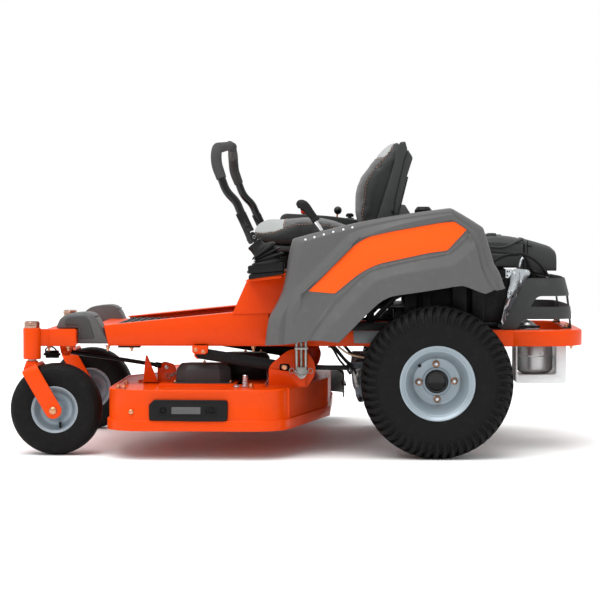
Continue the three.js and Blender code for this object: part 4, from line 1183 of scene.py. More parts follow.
def cover_bolts(x, y):
    def make(bm):
        for dy in (1, 54):
            disc(bm, "z", (x - 8, y + dy, 0), 3, 270, 280, 16)
            nut(bm, "z", (x - 8, y + dy, 271), 9, 5, 3)
        for dy in (-86, 86):
            nut(bm, "z", (x + 40, y + dy, 214), 9, 5, 3)
    return make


for hand, x, y in SPINDLES:
    piece(f"{hand}_belt_cover", belt_cover(x, y), charcoal, "deck", [f"{hand}_pulley_cover"], bevel=0.6,
          sharp=30)
    piece(f"{hand}_cover_bolts", cover_bolts(x, y), zinc, "deck")


def blade(x, y):
    def make(bm):
        line = [(-264, -29), (264, -29), (264, 14), (190, 29), (-190, 29), (-264, -14)]
        prism(bm, [(x + a, y + b) for a, b in soften(line, 3)], "z", 100, 105)
        for s in (1, -1):
            prism(bm, [(y + s * 26, 104), (y + s * 10, 104), (y + s * 29, 122)], "x",
                  *sorted((x + s * 190, x + s * 262)))
        disc(bm, "z", (x, y, 0), 11, 98, 245, 32)
        turn(bm, [(221, 0), (221, 45), (224, 45), (228, 34), (230, 34), (234, 45), (237, 45), (237, 0)], "z",
             (x, y, 0), 48)
        nut(bm, (0, 0, -1), (x, y, 100), 26, 8, 4)
        disc(bm, "z", (x, y, 0), 30, 95.5, 99.5, 32, 0.5)
    return make


for hand, x, y in SPINDLES:
    piece(f"{hand}_blade", blade(x, y), steel_plain, f"{hand}_blade", [f"{hand}_blade"], bevel=0.4)
    piece(f"{hand}_spindle", lambda bm: turn(bm, [(160, 12), (160, 30), (168, 36), (205, 40), (212, 40),
                                                  (212, 30), (216, 26), (216, 12)], "z", (x, y,
                                                  0), 40), casting, "deck")


def deflector(bm):
    # a bent rubber-like sheet: each ring is its section across the machine, hollow below
    profile = [(-553, 192), (-600, 191), (-645, 189), (-690, 175), (-730, 162), (-760, 151), (-780, 130),
               (-794, 112), (-802, 101)]
    loops = []
    for x, top in profile:
        into = max(0, -x - 722)
        round_off = 80 - math.sqrt(max(0, 80 ** 2 - into ** 2)) if into else 0
        y0, y1 = -705 + round_off, -292 - round_off
        r = 16
        z0 = 94
        t = 4
        outer = [(y0, z0), (y0, top - r), (y0 + r * 0.3, top - r * 0.3), (y0 + r, top), (y1 - r, top),
                 (y1 - r * 0.3, top - r * 0.3), (y1, top - r), (y1, z0)]
        outer = [(a, max(b, z0 + 1.0 + i * 0.02)) if 0 < i < 7 else (a, b) for i, (a, b) in enumerate(outer)]
        inner = [(y1 - t, z0), (y1 - t, max(top - r, z0) - t * 0.2), (y1 - r - t, max(top - t, z0 + 0.5)),
                 (y0 + r + t, max(top - t, z0 + 0.5)), (y0 + t, max(top - r, z0) - t * 0.2), (y0 + t, z0)]
        loops.append([(x, a, b) for a, b in outer + inner])
    rings(bm, loops)
    prism(bm, soften([(-600, -300), (-600, -284), (-760, -290), (-760, -300)], 6), "z", 130, 136)


def deflector_hinge(bm):
    tube(bm, [(-549, -712, 196), (-549, -286, 196)], 5, 16)
    for y in (-700, -640, -470, -330):
        disc(bm, "y", (-549, 0, 196), 8, y - 14, y + 14, 24)
    nut(bm, "y", (-549, -286, 196), 10, 6, 3)


piece("chute_deflector", deflector, charcoal, "deflector", ["chute_deflector"], bevel=1.2, sharp=40)
piece("deflector_hinge", deflector_hinge, steel_plain, "deck")


# ---------- deck lift ----------
def lift_shaft(bm):
    tube(bm, [(-399, -260, 398), (415, -260, 398)], 10, 24)
    arm = [(-246, 398), (-260, 416), (-413, 394), (-413, 376), (-260, 380)]
    for side in (1, -1):
        prism(bm, soften(arm, 8, 4), "x", side * 380 - 4, side * 380 + 4)
        disc(bm, "x", (side * 380, -405, 385), 7, -15, 15, 16)
        disc(bm, "x", (side * 372, -260, 398), 17, -8, 8, 24)


def lever_rod(bm):
    route = bent([(409, -260, 398), (409, -346, 682), (409, -376, 724)], 24)
    tube(bm, route, 6.8, 24)


def lever_grip(bm):
    route = spline([(409, -366, 716), (409, -374, 727), (409, -384, 740), (409, -394, 752), (409, -403, 759),
                    (409, -413, 761), (409, -422, 757)], 6)
    widths = spline([(11.4, 0, 0), (11.8, 0, 0), (12.6, 0, 0), (14.6, 0, 0), (16.2, 0, 0), (15.4, 0, 0),
                     (7, 0, 0)], 6)
    tube(bm, route, [w.x for w in widths], 32)
    turn(bm, [(-6, 7), (-6, 12), (-4, 13), (3, 13), (5, 12), (5, 7)], (0, -0.58, 0.81), (409, -366.5, 717),
         28)


def lever_wedge(bm):
    turn(bm, [(-9, 6), (-9, 10.6), (0, 11), (4, 9), (5, 7)], (0, -0.34, 0.94), (409, -345, 679), 24)


piece("lift_shaft", lift_shaft, black, "lift", ["lift_shaft"], bevel=0.8)
piece("lever_rod", lever_rod, chrome, "lift")
piece("lever_grip", lever_grip, rubber, "lift", sharp=45)
piece("lever_stop", lever_wedge, black_plastic, "lift")


def capsule(a, b, half, steps=10):
    """A bar's outline between two pins, rounded about each."""
    a, b = Vector(a), Vector(b)
    turned = math.degrees(math.atan2((b - a).y, (b - a).x))
    return arc(*a, half, turned + 90, turned + 270, steps) + arc(*b, half, turned - 90, turned + 90, steps)


pair("side_arm", lambda bm: (prism(bm, capsule((-720, 306), (-462, 265), 17), "x", 333, 341),
                             disc(bm, "x", (0, -720, 306), 13, 328, 345, 32),
                             disc(bm, "x", (0, -462, 265), 13, 341, 346, 32)), black, "{}_side_arm",
     ["{}_lift_arm"], bevel=1.2)
pair("side_arm_pins", lambda bm: (disc(bm, "x", (0, -462, 265), 7, 344, 357, 24),
                                  turn(bm, [(356, 0), (356, 9.5), (359, 9.5), (361, 7), (361, 0)], "x",
                                       (0, -462, 265), 24)), zinc, "{}_side_arm", bevel=0.3)


def arm_bracket(bm):
    prism(bm, soften([(-746, 331), (-746, 310), (-738, 305), (-706, 304), (-698, 310), (-698, 331)], 2), "x",
          346.5, 350.5)


pair("arm_bracket", arm_bracket, orange, bevel=0.8)
pair("arm_bracket_bolts", lambda bm: (nut(bm, "x", (350.5, -735, 318), 9, 4, 2),
                                      nut(bm, "x", (350.5, -712, 312), 9, 4, 2)), zinc, bevel=0.3)


def hanger(bm):
    # two small straps, two rods and a threaded rod between two blocks
    for x in (369.5, 390.5):
        prism(bm, soften([(-424, 244), (-416, 234), (-402, 234), (-394, 244), (-394, 268), (-424, 268)], 4),
              "x",
              x - 1.8, x + 1.8)
    for y in (-424, -396):
        disc(bm, "z", (384, y, 0), 4.6, 250, 396, 20)
    disc(bm, "z", (380, -410, 0), 5, 236, 392, 20)
    for i in range(26):
        turn(bm, [(-1.2, 4), (0, 6.4), (1.2, 4)], "z", (380, -410, 262 + i * 5), 20)
    block(bm, 368, 392, -430, -390, 322, 329)
    block(bm, 368, 392, -424, -396, 246, 256)
    nut(bm, (0, 0, -1), (380, -410, 246), 14, 10, 5)


def hairpin(bm, x, y, z, lean):
    c, s = math.cos(math.radians(lean)), math.sin(math.radians(lean))
    shape = [(-26, 2), (-12, 2), (-8, 5), (-4, 2), (0, 2), (3, 5), (8, 8), (13, 5), (15, 0), (13, -5),
             (8, -8), (3, -5),
             (0, -2), (-6, -2), (-24, -3)]
    tube(bm, spline([(x, y + (a * c - b * s), z + (a * s + b * c)) for a, b in shape], 5), 1.3, 10)


def hairpins(bm):
    hairpin(bm, 393, -432, 254, 150)
    hairpin(bm, 396, -388, 254, 30)
    disc(bm, "x", (0, -426, 256), 4, 362, 398, 16)
    disc(bm, "x", (0, -394, 256), 4, 362, 398, 16)


pair("hanger", hanger, steel_plain, "deck", bevel=0.5)
pair("hairpins", hairpins, steel_plain, "deck")
piece("front_hairpin", lambda bm: (hairpin(bm, 222, -826, 230, 200),
                                   disc(bm, "x", (0, -838, 254), 5, 205, 226, 16)), steel_plain, "deck")


def front_link(bm):
    turn(bm, [(-8, 6.5), (-8, 10), (-6, 11), (6, 11), (8, 10), (8, 6.5)], "x", (236, -1150, 305), 32)
    tube(bm, [(236, -1141, 303.7), (236, -1000, 283.5), (236, -858, 262)], [7.5, 6.5, 6], 20)
    tube(bm, [(236, -872, 264.2), (236, -854, 261.4)], [8.5, 8.5], 16)


piece("front_link", front_link, black, "front_link", ["front_link"], bevel=0.4)


# ---------- drive ----------
def casing(bm):
    line = soften([(-255, 250), (-240, 275), (-120, 288), (60, 284), (85, 230), (60, 166), (-60, 142),
                   (-220, 152), (-250, 190)], 16)
    loft(bm, line, ((112, 0.9), (118, 0.98), (130, 1), (168, 1), (169, 1.03), (176, 1.03), (177, 1),
                    (214, 0.97), (226, 0.88), (233, 0.7)), (-80, 215))
    for y in range(-220, 60, 24):
        prism(bm, [(118, 150), (226, 150), (226, 286), (118, 286)], "y", y, y + 4)
    turn(bm, [(226, 0), (226, 58), (236, 56), (246, 40), (292, 34), (300, 32), (300, 0)], "x", (0, 0, 230.6),
         40)
    for i in range(6):
        a = math.radians(60 * i + 20)
        nut(bm, "x", (236, 47 * math.cos(a), 230.6 + 47 * math.sin(a)), 9, 5, 2)


def casing_arms(bm):
    prism(bm, soften([(-256, 244, 6), (-246, 246, 6), (-228, 212, 6), (-238, 206, 6)], 4), "x", 236, 244)
    disc(bm, "x", (0, -248, 250), 8, 244, 270, 20)
    disc(bm, "x", (0, -232, 160), 7, 226, 264, 20)
    turn(bm, [(283, 0), (283, 26), (288, 34), (296, 34), (300, 30), (300, 0)], "z", (170, -60, 0), 40)


def front_casting(bm):
    # the wide valve body and the narrower leg under it
    prism(bm, soften([(-261, 276, 4), (-265, 240, 5), (-222, 236, 2), (-222, 276, 4)], 4), "x", 226, 266)
    prism(bm, soften([(-254, 240, 2), (-245, 170, 4), (-236, 150, 6), (-222, 150, 3), (-222, 240, 2)], 4),
          "x", 230, 258)
    turn(bm, [(262, 0), (262, 13), (269, 12), (270, 0)], "x", (0, -242, 257), 32)
    for y, z in ((-257, 270), (-228, 270), (-257, 243), (-229, 243), (-236, 168)):
        nut(bm, "x", (262 if z > 200 else 257, y, z), 8, 5, 2)


def control_lever(bm):
    prism(bm, soften([(-254, 251, 4), (-227, 260, 4), (-223, 240, 4), (-240, 226, 3), (-234, 203, 5),
                      (-244, 199, 5), (-252, 226, 4)], 4), "x", 272, 276)
    disc(bm, "x", (0, -240, 242), 6, 262, 282, 24)
    nut(bm, "x", (276, -240, 206), 10, 5, 3)


def fan(bm):
    x, y = 170, -60
    blade_section = ((12, 0), (39, 0), (39, 2), (12, 2))
    for i in range(10):
        loops = []
        for degrees, z in ((36 * i, 302), (36 * i + 24, 312)):
            a = math.radians(degrees)
            loops.append([(x + r * math.cos(a), y + r * math.sin(a), z + up) for r, up in blade_section])
        rings(bm, loops)
    disc(bm, "z", (x, y, 0), 14, 288, 316, 24)


pair("transaxle", casing, casting, nodes=["{}_transaxle"], bevel=0.8)
pair("transaxle_casting", front_casting, casting, bevel=0.8)
pair("transaxle_lever", control_lever, steel_plain, bevel=0.5)
pair("transaxle_arms", casing_arms, black, bevel=0.8)
pair("transaxle_fan", fan, black_plastic, bevel=0.3)


def cable(bm, points, radius, sides=12):
    tube(bm, spline(points), radius, sides)


def cables(bm):
    cable(bm, [(300, -330, 326), (300, -316, 320), (301, -296, 286), (300, -276, 262), (290, -262, 240)], 3.4)
    cable(bm, [(304, -322, 332), (304, -306, 322), (305, -280, 290), (304, -257, 268), (290, -244, 240)], 3.4)
    cable(bm, [(196, -300, 400), (190, -160, 380), (180, 40, 372), (168, 180, 372), (160, 262, 380)], 3.6)
    cable(bm, [(210, -290, 410), (208, -120, 402), (204, 60, 392), (196, 200, 384), (190, 330, 382)], 4.2)


def beige_cable(bm):
    cable(bm, [(300, -300, 327), (300, -290, 319), (300, -272, 306), (300, -254, 299), (300, -236, 295),
                   (290, -214, 292), (260, -190, 296)], 3.2)


def drag_bars(bm):
    prism(bm, soften([(-399, 254), (-263, 253), (-263, 268), (-399, 268)], 3), "x", 297, 303)
    disc(bm, "x", (0, -272, 260), 6, 240, 306, 16)
    disc(bm, "x", (0, -390, 261), 6, 296, 312, 16)
    for side in (1, -1):
        tube(bm, [(side * 318, -486, 520), (side * 312, -380, 400), (side * 262, -250, 250)], 5, 12)


piece("cables", cables, rubber)
piece("beige_cable", beige_cable, beige)
piece("drag_bars", drag_bars, black, bevel=0.4)
piece("serial_label", lambda bm: prism(bm, [(-253, 376), (-146, 376), (-149, 356), (-174, 338), (-250, 338)],
                                       "x",
                                       329.8, 330.8), label, bevel=0.2)


piece("cable_guard", lambda bm: prism(bm, soften([(-300, 377), (-300, 394), (-292, 401), (-140, 401),
                                                  (-140, 377)], 4),
                                      "x", 326.5, 328.5), black_plastic, bevel=0.3)


def belt_guard(bm):
    prism(bm, soften([(-657, 212), (-657, 266), (-648, 276), (-536, 276), (-527, 268), (-527, 212)], 6), "x",
          128, 172)
    for x in (136, 164):
        prism(bm, rectangle(x - 2, x + 2, -654, -530), "z", 270, 279)


piece("belt_guard", belt_guard, black_plastic, "deck", bevel=1.2)


# ---------- engine ----------
def crankcase(bm):
    turn(bm, [(376, 0), (376, 108), (380, 118), (392, 118), (394, 114), (420, 112), (540, 112), (556, 108),
              (564, 96), (564, 0)], "z", (0, 130, 0), 48)
    disc(bm, "z", (0, 130, 0), 14, 290, 380, 24)
    turn(bm, [(292, 0), (292, 52), (296, 52), (304, 38), (312, 38), (320, 52), (324, 52), (324, 0)], "z",
         (0, 130, 0), 48)
    turn(bm, [(-12, 0), (-12, 40), (60, 40), (66, 34), (66, 0)], (0.86, -0.3, 0), (100, 92, 440), 32)
    for i in range(8):
        a = math.radians(45 * i)
        nut(bm, "z", (104 * math.cos(a), 130 + 104 * math.sin(a), 391), 11, 7, 3)


def cylinders(bm):
    for side in (1, -1):
        for i in range(13):
            reach = 60 + i * 9
            size = 52 if i < 10 else 46
            c, s = math.sin(math.radians(55)), math.cos(math.radians(55))
            centre = Vector((side * c * reach, 120 + s * reach, 0))
            u = Vector((side * s, -c, 0))
            w = Vector((side * c, s, 0))
            loops = []
            for step in (-1.6, 1.6):
                loop = []
                for a, z in ((-size, 420), (size, 420), (size + 3, 430), (size + 3, 530), (size, 540),
                             (-size, 540),
                             (-size - 3, 530), (-size - 3, 430)):
                    p = centre + u * a + w * step
                    loop.append((p.x, p.y, z))
                loops.append(loop)
            rings(bm, loops)
        core = Vector((side * 0.82, 0.57, 0))
        turn(bm, [(40, 0), (40, 42), (176, 42), (178, 30), (178, 0)], tuple(core), (0, 120, 480), 32)
        # rocker cover
        centre = Vector((side * 0.82 * 174, 120 + 0.57 * 174, 480))
        u = Vector((side * 0.57, -0.82, 0))
        w = Vector((side * 0.82, 0.57, 0))
        loops = []
        for step, keep in ((0, 1), (10, 1), (15, 0.9), (17, 0.7)):
            loop = []
            for a, z in soften([(-46, -52), (46, -52), (46, 52), (-46, 52)], 12, 3):
                p = centre + u * a * keep + w * step + Vector((0, 0, z * keep))
                loop.append(tuple(p))
            loops.append(loop)
        rings(bm, loops)


def engine_castings(bm):
    # throttle bracket, intake elbow and a pressed strip behind the shroud
    prism(bm, soften([(236, 556), (250, 565), (292, 561), (297, 550), (288, 536), (268, 511), (254, 488),
                      (249, 474), (226, 472), (225, 488), (234, 518)], 6), "x", 214, 226)
    prism(bm, soften([(262, 556), (292, 556), (292, 545), (284, 536), (266, 516)], 5), "x", 206, 234)
    prism(bm, soften([(219, 536), (219, 562), (239, 563), (238, 550), (229, 536)], 3), "x", 228, 231,
          [arc(225, 556, 2.6, 0, 330, 11), arc(225, 543, 2.6, 0, 330, 11), arc(233, 556, 2.6, 0, 330, 11)])
    tube(bm, bent([(222, 262, 570), (222, 265, 588), (222, 274, 599)], 6), 4.2, 12)
    cable(bm, [(222, 230, 474), (216, 222, 452), (214, 208, 434), (216, 204, 410), (208, 210, 392)], 7, 14)
    for y, z in ((246, 548), (232, 490), (284, 552)):
        nut(bm, "x", (226, y, z), 10, 6, 3)
    cable(bm, [(206, 214, 446), (218, 206, 426), (222, 204, 404)], 3)
    prism(bm, soften([(198, 380), (220, 380), (226, 470), (212, 470)], 5), "x", 196, 202)


def engine_black(bm):
    cable(bm, [(176, 232, 540), (196, 206, 520), (206, 196, 470), (200, 190, 420)], 9, 16)
    cable(bm, [(176, 296, 560), (190, 320, 552), (186, 350, 545), (150, 356, 540)], 6, 14)
    block(bm, 150, 196, 200, 236, 486, 560)
    disc(bm, "y", (176, 0, 470), 22, 190, 236, 28, 3)


def hoses(bm):
    cable(bm, [(200, 184, 586), (200, 208, 600), (200, 231, 607), (200, 262, 611), (200, 280, 608),
               (200, 308, 594),
                   (200, 328, 577), (198, 345, 556), (190, 352, 545)], 4.6, 16)
    cable(bm, [(180, 276, 604), (182, 286, 596), (184, 294, 580), (184, 306, 556), (180, 311, 532)], 5.4, 16)
    cable(bm, [(184, 292, 584), (186, 303, 562), (184, 323, 549), (176, 344, 541)], 5.0, 16)
    disc(bm, "y", (200, 0, 610), 6.6, 236, 262, 20, 1.5)


piece("engine_block", crankcase, casting, nodes=["engine_block"], bevel=0.6)
piece("cylinders", cylinders, casting, bevel=0.4)
piece("engine_castings", engine_castings, bright_alloy, slot="cast_alloy", bevel=0.8)
piece("engine_parts", engine_black, black_plastic, bevel=0.8)
piece("hoses", hoses, rubber)


def shroud(bm):
    # a blower housing: upright sides that lean in at the shoulder, and a crowned ribbed top
    rows = [(20, 640), (34, 648), (60, 657), (120, 664), (180, 668), (205, 667), (250, 662), (278, 656)]
    loops = []
    for y, z in rows:
        half = [(-166, 566), (-170, 572), (-170, 606), (-166, 612), (-166, z - 22), (-158, z - 10),
                (-140, z - 3),
                (-90, z)]
        loops.append([(x, y, height) for x, height in mirrored(half, [(0, z + 1.5)])])
    rings(bm, loops)
    for i in range(11):
        x = -120 + i * 24
        rings(bm, [[(x + a, y, z + b) for a, b in ((-3, -8), (3, -8), (2.2, 3.2), (-2.2, 3.2))]
                   for y, z in ((52, 655), (66, 658.5), (120, 664), (180, 668.5), (198, 667.6))])
    # the raised pad round the blower screen
    turn(bm, [(-6, 0), (-6, 96), (0, 96), (3, 92), (3, 0)], (0, -0.03, 1), (0, 126, 664.5), 64)


def shroud_crease(bm):
    # the curved shelf on each side
    upper = [(160, 632), (180, 631.5), (203, 630), (222, 632), (240, 639), (256, 648), (272, 654), (279, 656)]
    lower = [(20, 605), (182, 619), (227, 614.5), (278, 616)]
    for side in (1, -1):
        for line, section in ((upper, ((-4, 5), (3.8, 1.5), (3.8, -2), (-4, -6))),
                              (lower, ((-4, 4), (3.6, 2), (3.6, -2), (-4, -4)))):
            rings(bm, [[(side * (166 + a), y, z + b) for a, b in section] for y, z in line])


def filter_cover(bm):
    rows = [(281, 660), (290, 656), (325, 646.5), (356, 637), (370, 631), (381, 621), (385, 611)]
    loops = []
    for y, z in rows:
        low = 556 if y > 340 else 552
        half = [(-142, low), (-148, low + 5), (-149, z - 26), (-142, z - 10), (-128, z - 3), (-80, z)]
        loops.append([(x, y, height) for x, height in mirrored(half, [(0, z + 1)])])
    rings(bm, loops)


def filter_shelf(bm):
    block(bm, -120, 120, 292, 358, 528, 556)
    for side in (1, -1):
        x0, x1 = span(side, 146, 150.4)
        prism(bm, soften([(292, 632), (308, 633.6), (308, 636), (292, 636)], 1), "x", x0, x1)
        prism(bm, soften([(292, 560), (294.4, 560), (294.4, 650), (292, 652)], 0.8), "x", x0, x1)


def shroud_clips(bm):
    for x in (-60, 60):
        block(bm, x - 16, x + 16, 180, 200, 664, 674)
    prism(bm, soften(rectangle(-150, 150, 276, 286), 3), "z", 600, 640)


piece("engine_shroud", shroud, charcoal, nodes=["engine_shroud"], bevel=0.8, sharp=28)
piece("shroud_crease", shroud_crease, charcoal, bevel=0.8)
piece("air_filter_cover", filter_cover, charcoal, nodes=["air_filter_cover"], bevel=1.6, sharp=28)
piece("filter_shelf", filter_shelf, black_plastic, bevel=1)
piece("shroud_clips", shroud_clips, black_plastic, bevel=1.2)


# ---------- engine guard ----------
def guard_line(rear, inset):
    """One side and half of the rear of the guard, seen from above, and its mirror."""
    r = 78 - inset
    half = ([(302 - inset, 190)] + [(302 - inset, 230 + i * 22) for i in range(4)]
            + arc(224, rear - 78, r, 0, 82, 14) + [(120, rear + 4 - inset), (60, rear + 7 - inset)])
    return mirrored(half, [(0, rear + 8 - inset)])


def guard_wall(bm):
    levels = [(378.4, 427), (430, 423), (490, 415), (537, 403)]
    sections = []
    for i in range(len(guard_line(400, 0))):
        outer = [(*guard_line(rear, 0)[i], z) for z, rear in levels]
        inner = [(*guard_line(rear, 4)[i], z) for z, rear in levels[::-1]]
        sections.append(outer + inner)
    rings(bm, sections)


def guard_windows(bm):
    # what lies ahead of the slanted front edge, the slot between the bands and the opening under them
    prism(bm, soften([(100, 360), (193, 360), (214, 409), (271, 526, 12), (286, 537.5, 16), (300, 560),
                      (100, 560)], 1, 6),
          "x", -400, 400)
    prism(bm, soften([(291, 449, 5), (313, 482, 14), (600, 482), (600, 449)], 1, 6), "x", -400, 400)
    prism(bm, soften([(245, 370), (268, 411, 12), (600, 411), (600, 370)], 1, 6), "x", -400, 400)


def guard_posts(bm):
    for side in (1, -1):
        x0, x1 = span(side, 170, 200)
        prism(bm, [(427, 378.4), (423, 430), (415, 490), (406, 530), (402, 530), (411, 490), (419, 430),
                   (423, 378.4)],
              "x", x0, x1)
        block(bm, x0, x1, 404, 427, 378.4, 382)


piece("engine_guard", guard_wall, charcoal, nodes=["engine_guard"], cuts=[guard_windows], slot="black_steel",
      bevel=1.1, sharp=35)
piece("guard_posts", guard_posts, charcoal, slot="black_steel", bevel=0.8)


def guard_bolts(bm):
    for side in (1, -1):
        nut(bm, "z", (side * 185, 414, 382.5), 12, 8, 4)
        nut(bm, (0, 0, -1), (side * 285, 418, 329.5), 9, 6, 4)


piece("guard_bolts", guard_bolts, zinc)


# ---------- exhaust ----------
def muffler(bm):
    turn(bm, [(230, 0), (230, 26), (233, 36), (238, 46), (244, 54), (250, 57), (284, 57.6), (286, 59),
              (289, 59.4), (291, 58.6), (292, 57), (352, 57), (362, 50), (366, 42), (366, 0)], "z", (150, 316,
              0), 64)
    turn(bm, [(360, 0), (360, 37), (370, 38), (371, 35.4), (376, 35), (377, 32), (383, 30), (384, 26),
              (391, 22), (392, 16), (397, 10), (398, 0)], "z", (150, 294, 3), 48)
    tube(bm, spline([(140, 300, 376), (124, 280, 384), (104, 254, 388), (90, 226, 392)], 6), 22, 32)
    nut(bm, "x", (206, 336, 300), 8, 4, 2)


def outlet(bm):
    turn(bm, [(216, 15), (216, 22), (222, 24), (234, 24), (234, 15)], "z", (150, 316, 0), 40)
    tube(bm, [(150, 322, 224), (150, 352, 224)], [9.5, 9.0], 28)


def heat_plate(bm):
    prism(bm, soften([(252, 209, 5), (402, 208, 5), (409, 214, 4), (409, 326, 1), (378, 326, 1),
                      (378, 240, 6), (372, 235, 5), (262, 233, 5), (257, 239, 5), (257, 326, 1),
                      (252, 326, 1)], 3), "x", 71,
          229)


piece("muffler", muffler, steel, nodes=["muffler"], sharp=40)
piece("muffler_outlet", outlet, black)
piece("heat_shield", heat_plate, shield_sheet, nodes=["heat_shield"], bevel=1.4)


# ---------- fuel tank and battery ----------
def fuel_tank(bm):
    line = soften([(-230, 607), (-230, 672), (-110, 700), (40, 711), (80, 700), (100, 640), (100, 607)], 16)
    loft(bm, line, ((-303, 0.9), (-306, 0.96), (-314, 1), (-468, 1), (-476, 0.96), (-479, 0.9)), (-60, 655))
    turn(bm, [(690, 0), (690, 27), (700, 24), (712, 21), (741, 21), (741, 0)], "z", (-330, -21, 0), 40)


def tank_hump(bm):
    # moulded grey cover that rises between the fender and the filler
    rings(bm, [[(x, y, z) for y, z in ((-140, 690), (-118, 722), (-108, 741), (-98, 768), (-90, 770),
                                       (-82, 768), (-66, 742), (-50, 716), (-30, 700))]
               for x in (-436, -432, -400, -352, -348)])


def fuel_cap(bm):
    c = (-330, -21, 0)
    turn(bm, [(740, 0), (740, 27), (741.5, 28.6), (751, 28.6), (754, 26.5), (761, 21), (762, 19), (762, 0)],
         "z", c, 48)
    for i in range(24):
        a = math.radians(15 * i)
        u, v = Vector((math.cos(a), math.sin(a))), Vector((-math.sin(a), math.cos(a)))
        corners = [u * r + v * s for r, s in ((25, -1.5), (29.2, -1.1), (29.2, 1.1), (25, 1.5))]
        prism(bm, [(-330 + p.x, -21 + p.y) for p in corners], "z", 742, 751)


piece("fuel_tank", fuel_tank, black_plastic, nodes=["fuel_tank"], bevel=1, sharp=40)
piece("tank_hump", tank_hump, grey, bevel=3, segments=3, sharp=40)
piece("fuel_cap", fuel_cap, black_plastic, "cap", ["fuel_cap"], bevel=0.4)


def battery(bm):
    rings(bm, [[(x, y, z) for x, y in soften(rectangle(-65 + i, 65 - i, -285 + i, -125 - i), 5)]
               for z, i in ((446.6, 1), (450, 0), (540, 0), (541, 1.4), (545, 1.4), (546, -0.2), (564, -0.2),
                            (566, 1.6))])
    for x in (-40, 40):
        block(bm, x - 11, x + 11, -282, -260, 564, 577)
    for y in (-244, -206, -168):
        block(bm, -58, 58, y, y + 26, 565, 568)


piece("battery", battery, black_plastic, nodes=["battery"], bevel=0.8)
piece("battery_leads", lambda bm: (disc(bm, "z", (-40, -271, 0), 5, 576, 582, 20),
                                   disc(bm, "z", (40, -271, 0), 5, 576, 582, 20)), steel_plain)


# ---------- spring at the front axle ----------
def springs(bm):
    turns = [(i * 0.62, -1206 + i * 0.27) for i in range(150)]
    tube(bm, [(300 + 11 * math.cos(a), y, 300 + 11 * math.sin(a)) for a, y in turns], 1.7, 8)
    tube(bm, [(300, -1212, 300), (300, -1160, 300)], 4, 12)
    tube(bm, spline([(300, -1208, 312), (300, -1196, 324), (300, -1180, 320), (300, -1168, 306)], 5), 2.4, 10)


piece("axle_spring", springs, black)


# ---------- console ----------
def console(bm):
    line = soften([(-500, 672, 8), (-508, 712, 10), (-502, 731, 12), (-488, 739, 10), (-424, 736, 60),
                   (-339, 731, 40), (-241, 718, 4), (-241, 709, 3), (-262, 702, 10), (-436, 666, 10)], 8, 6)
    loft(bm, line, ((-290, 0.93), (-291.5, 0.97), (-297, 1), (-463, 1), (-468.5, 0.97), (-470, 0.93)),
         (-385, 702))


def console_slots(bm):
    block(bm, -403, -397, -352, -284, 712, 760)


def console_trim(bm):
    turn(bm, [(711, 0), (711, 19), (735.5, 19), (737, 17), (737, 0)], "z", (-400, -424, 0), 40)
    turn(bm, [(706, 0), (706, 14), (723, 14), (724.6, 12.4), (724.6, 0)], "z", (-350, -270, 0), 36)
    for y in (-352, -284):
        disc(bm, "z", (-400, y, 0), 3.2, 712, 730 + (y + 352) * -0.09, 20)


piece("control_console", console, charcoal, nodes=["control_console"], cuts=[console_slots], bevel=0.8,
      sharp=40)
piece("console_trim", console_trim, black_plastic, bevel=0.4)
piece("throttle_stem", lambda bm: tube(bm, [(-400, -318, 701), (-400, -316, 722), (-400, -312, 742)],
                                       [3.2, 3.2, 3.2], 16), zinc, "throttle")
piece("throttle_ball", lambda bm: turn(bm, [(-14, 0), (-13.6, 5), (-9.5, 10.4), (-4.6, 13.3), (0, 14),
                                            (5.4, 13), (10, 9.9), (13, 5.2), (14, 0)], "z", (-400, -311.5,
                                            750), 40),
      gloss_black, "throttle", ["throttle_lever"], slot="black_plastic", sharp=80)


def knob(bm):
    turn(bm, [(715, 0), (715, 5), (737, 5), (738, 12), (741, 14.6), (750, 15.2), (754, 14), (756, 11),
              (755, 5), (754.6, 0)], "z", (-400, -424, 0), 48)


piece("blade_knob", knob, red, "blade_switch", ["blade_knob"], bevel=0.3)
piece("ignition_key", lambda bm: (disc(bm, "z", (-350, -270, 0), 6.6, 712, 729, 28),
                                  prism(bm, soften([(-283, 727), (-284, 735), (-278, 740), (-262, 740),
                                                    (-256, 735),
                                                    (-257, 727)], 4), "x", -352.4, -347.6)), black_plastic,
      "key", ["ignition_key"], bevel=0.8)


# ---------- controls ----------
BAR_X = 408
PIVOT = Vector((BAR_X, -526, 566))
LEAN = math.radians(18.4)
BEHIND = (0, math.cos(LEAN), math.sin(LEAN))


def along_bar(a, b, x=0.0):
    """A point b up the control from its pivot and a behind its middle line."""
    return PIVOT + Vector((x, a * math.cos(LEAN) - b * math.sin(LEAN),
                           a * math.sin(LEAN) + b * math.cos(LEAN)))


def bar_block(bm, outline, x0, x1):
    rings(bm, [[along_bar(a, b, x) for a, b in outline] for x in (x0, x1)])


def pads(bm):
    # the soft black pad under the bellows, in two layers
    top = soften([(-568, 553, 4), (-569, 578, 6), (-540, 578, 30), (-500, 583, 30), (-462, 590, 6),
                  (-460, 562, 3)], 5, 6)
    low = soften([(-566, 536, 3), (-567, 544, 3), (-564, 552, 3), (-461, 561, 3), (-461, 553, 3)], 3, 4)
    for outline, width, edge in ((top, 42, 3), (low, 40, 2)):
        steps = ((-width, 0.9), (-width + edge * 0.4, 0.97), (-width + edge * 1.4, 1),
                 (width - edge * 1.4, 1), (width - edge * 0.4, 0.97), (width, 0.9))
        loft(bm, outline, [(BAR_X + x, keep) for x, keep in steps])
    prism(bm, soften([(-574, 555), (-574, 561), (-566, 563), (-566, 553)], 2), "x", 388, 402)
    for x in (383, 433):
        prism(bm, soften([(-569, 554), (-569, 576), (-566, 577), (-566, 554)], 1), "x", x - 1.5, x + 1.5)


def pad_slot(bm):
    block(bm, 393, 423, -556, -500, 530, 600)


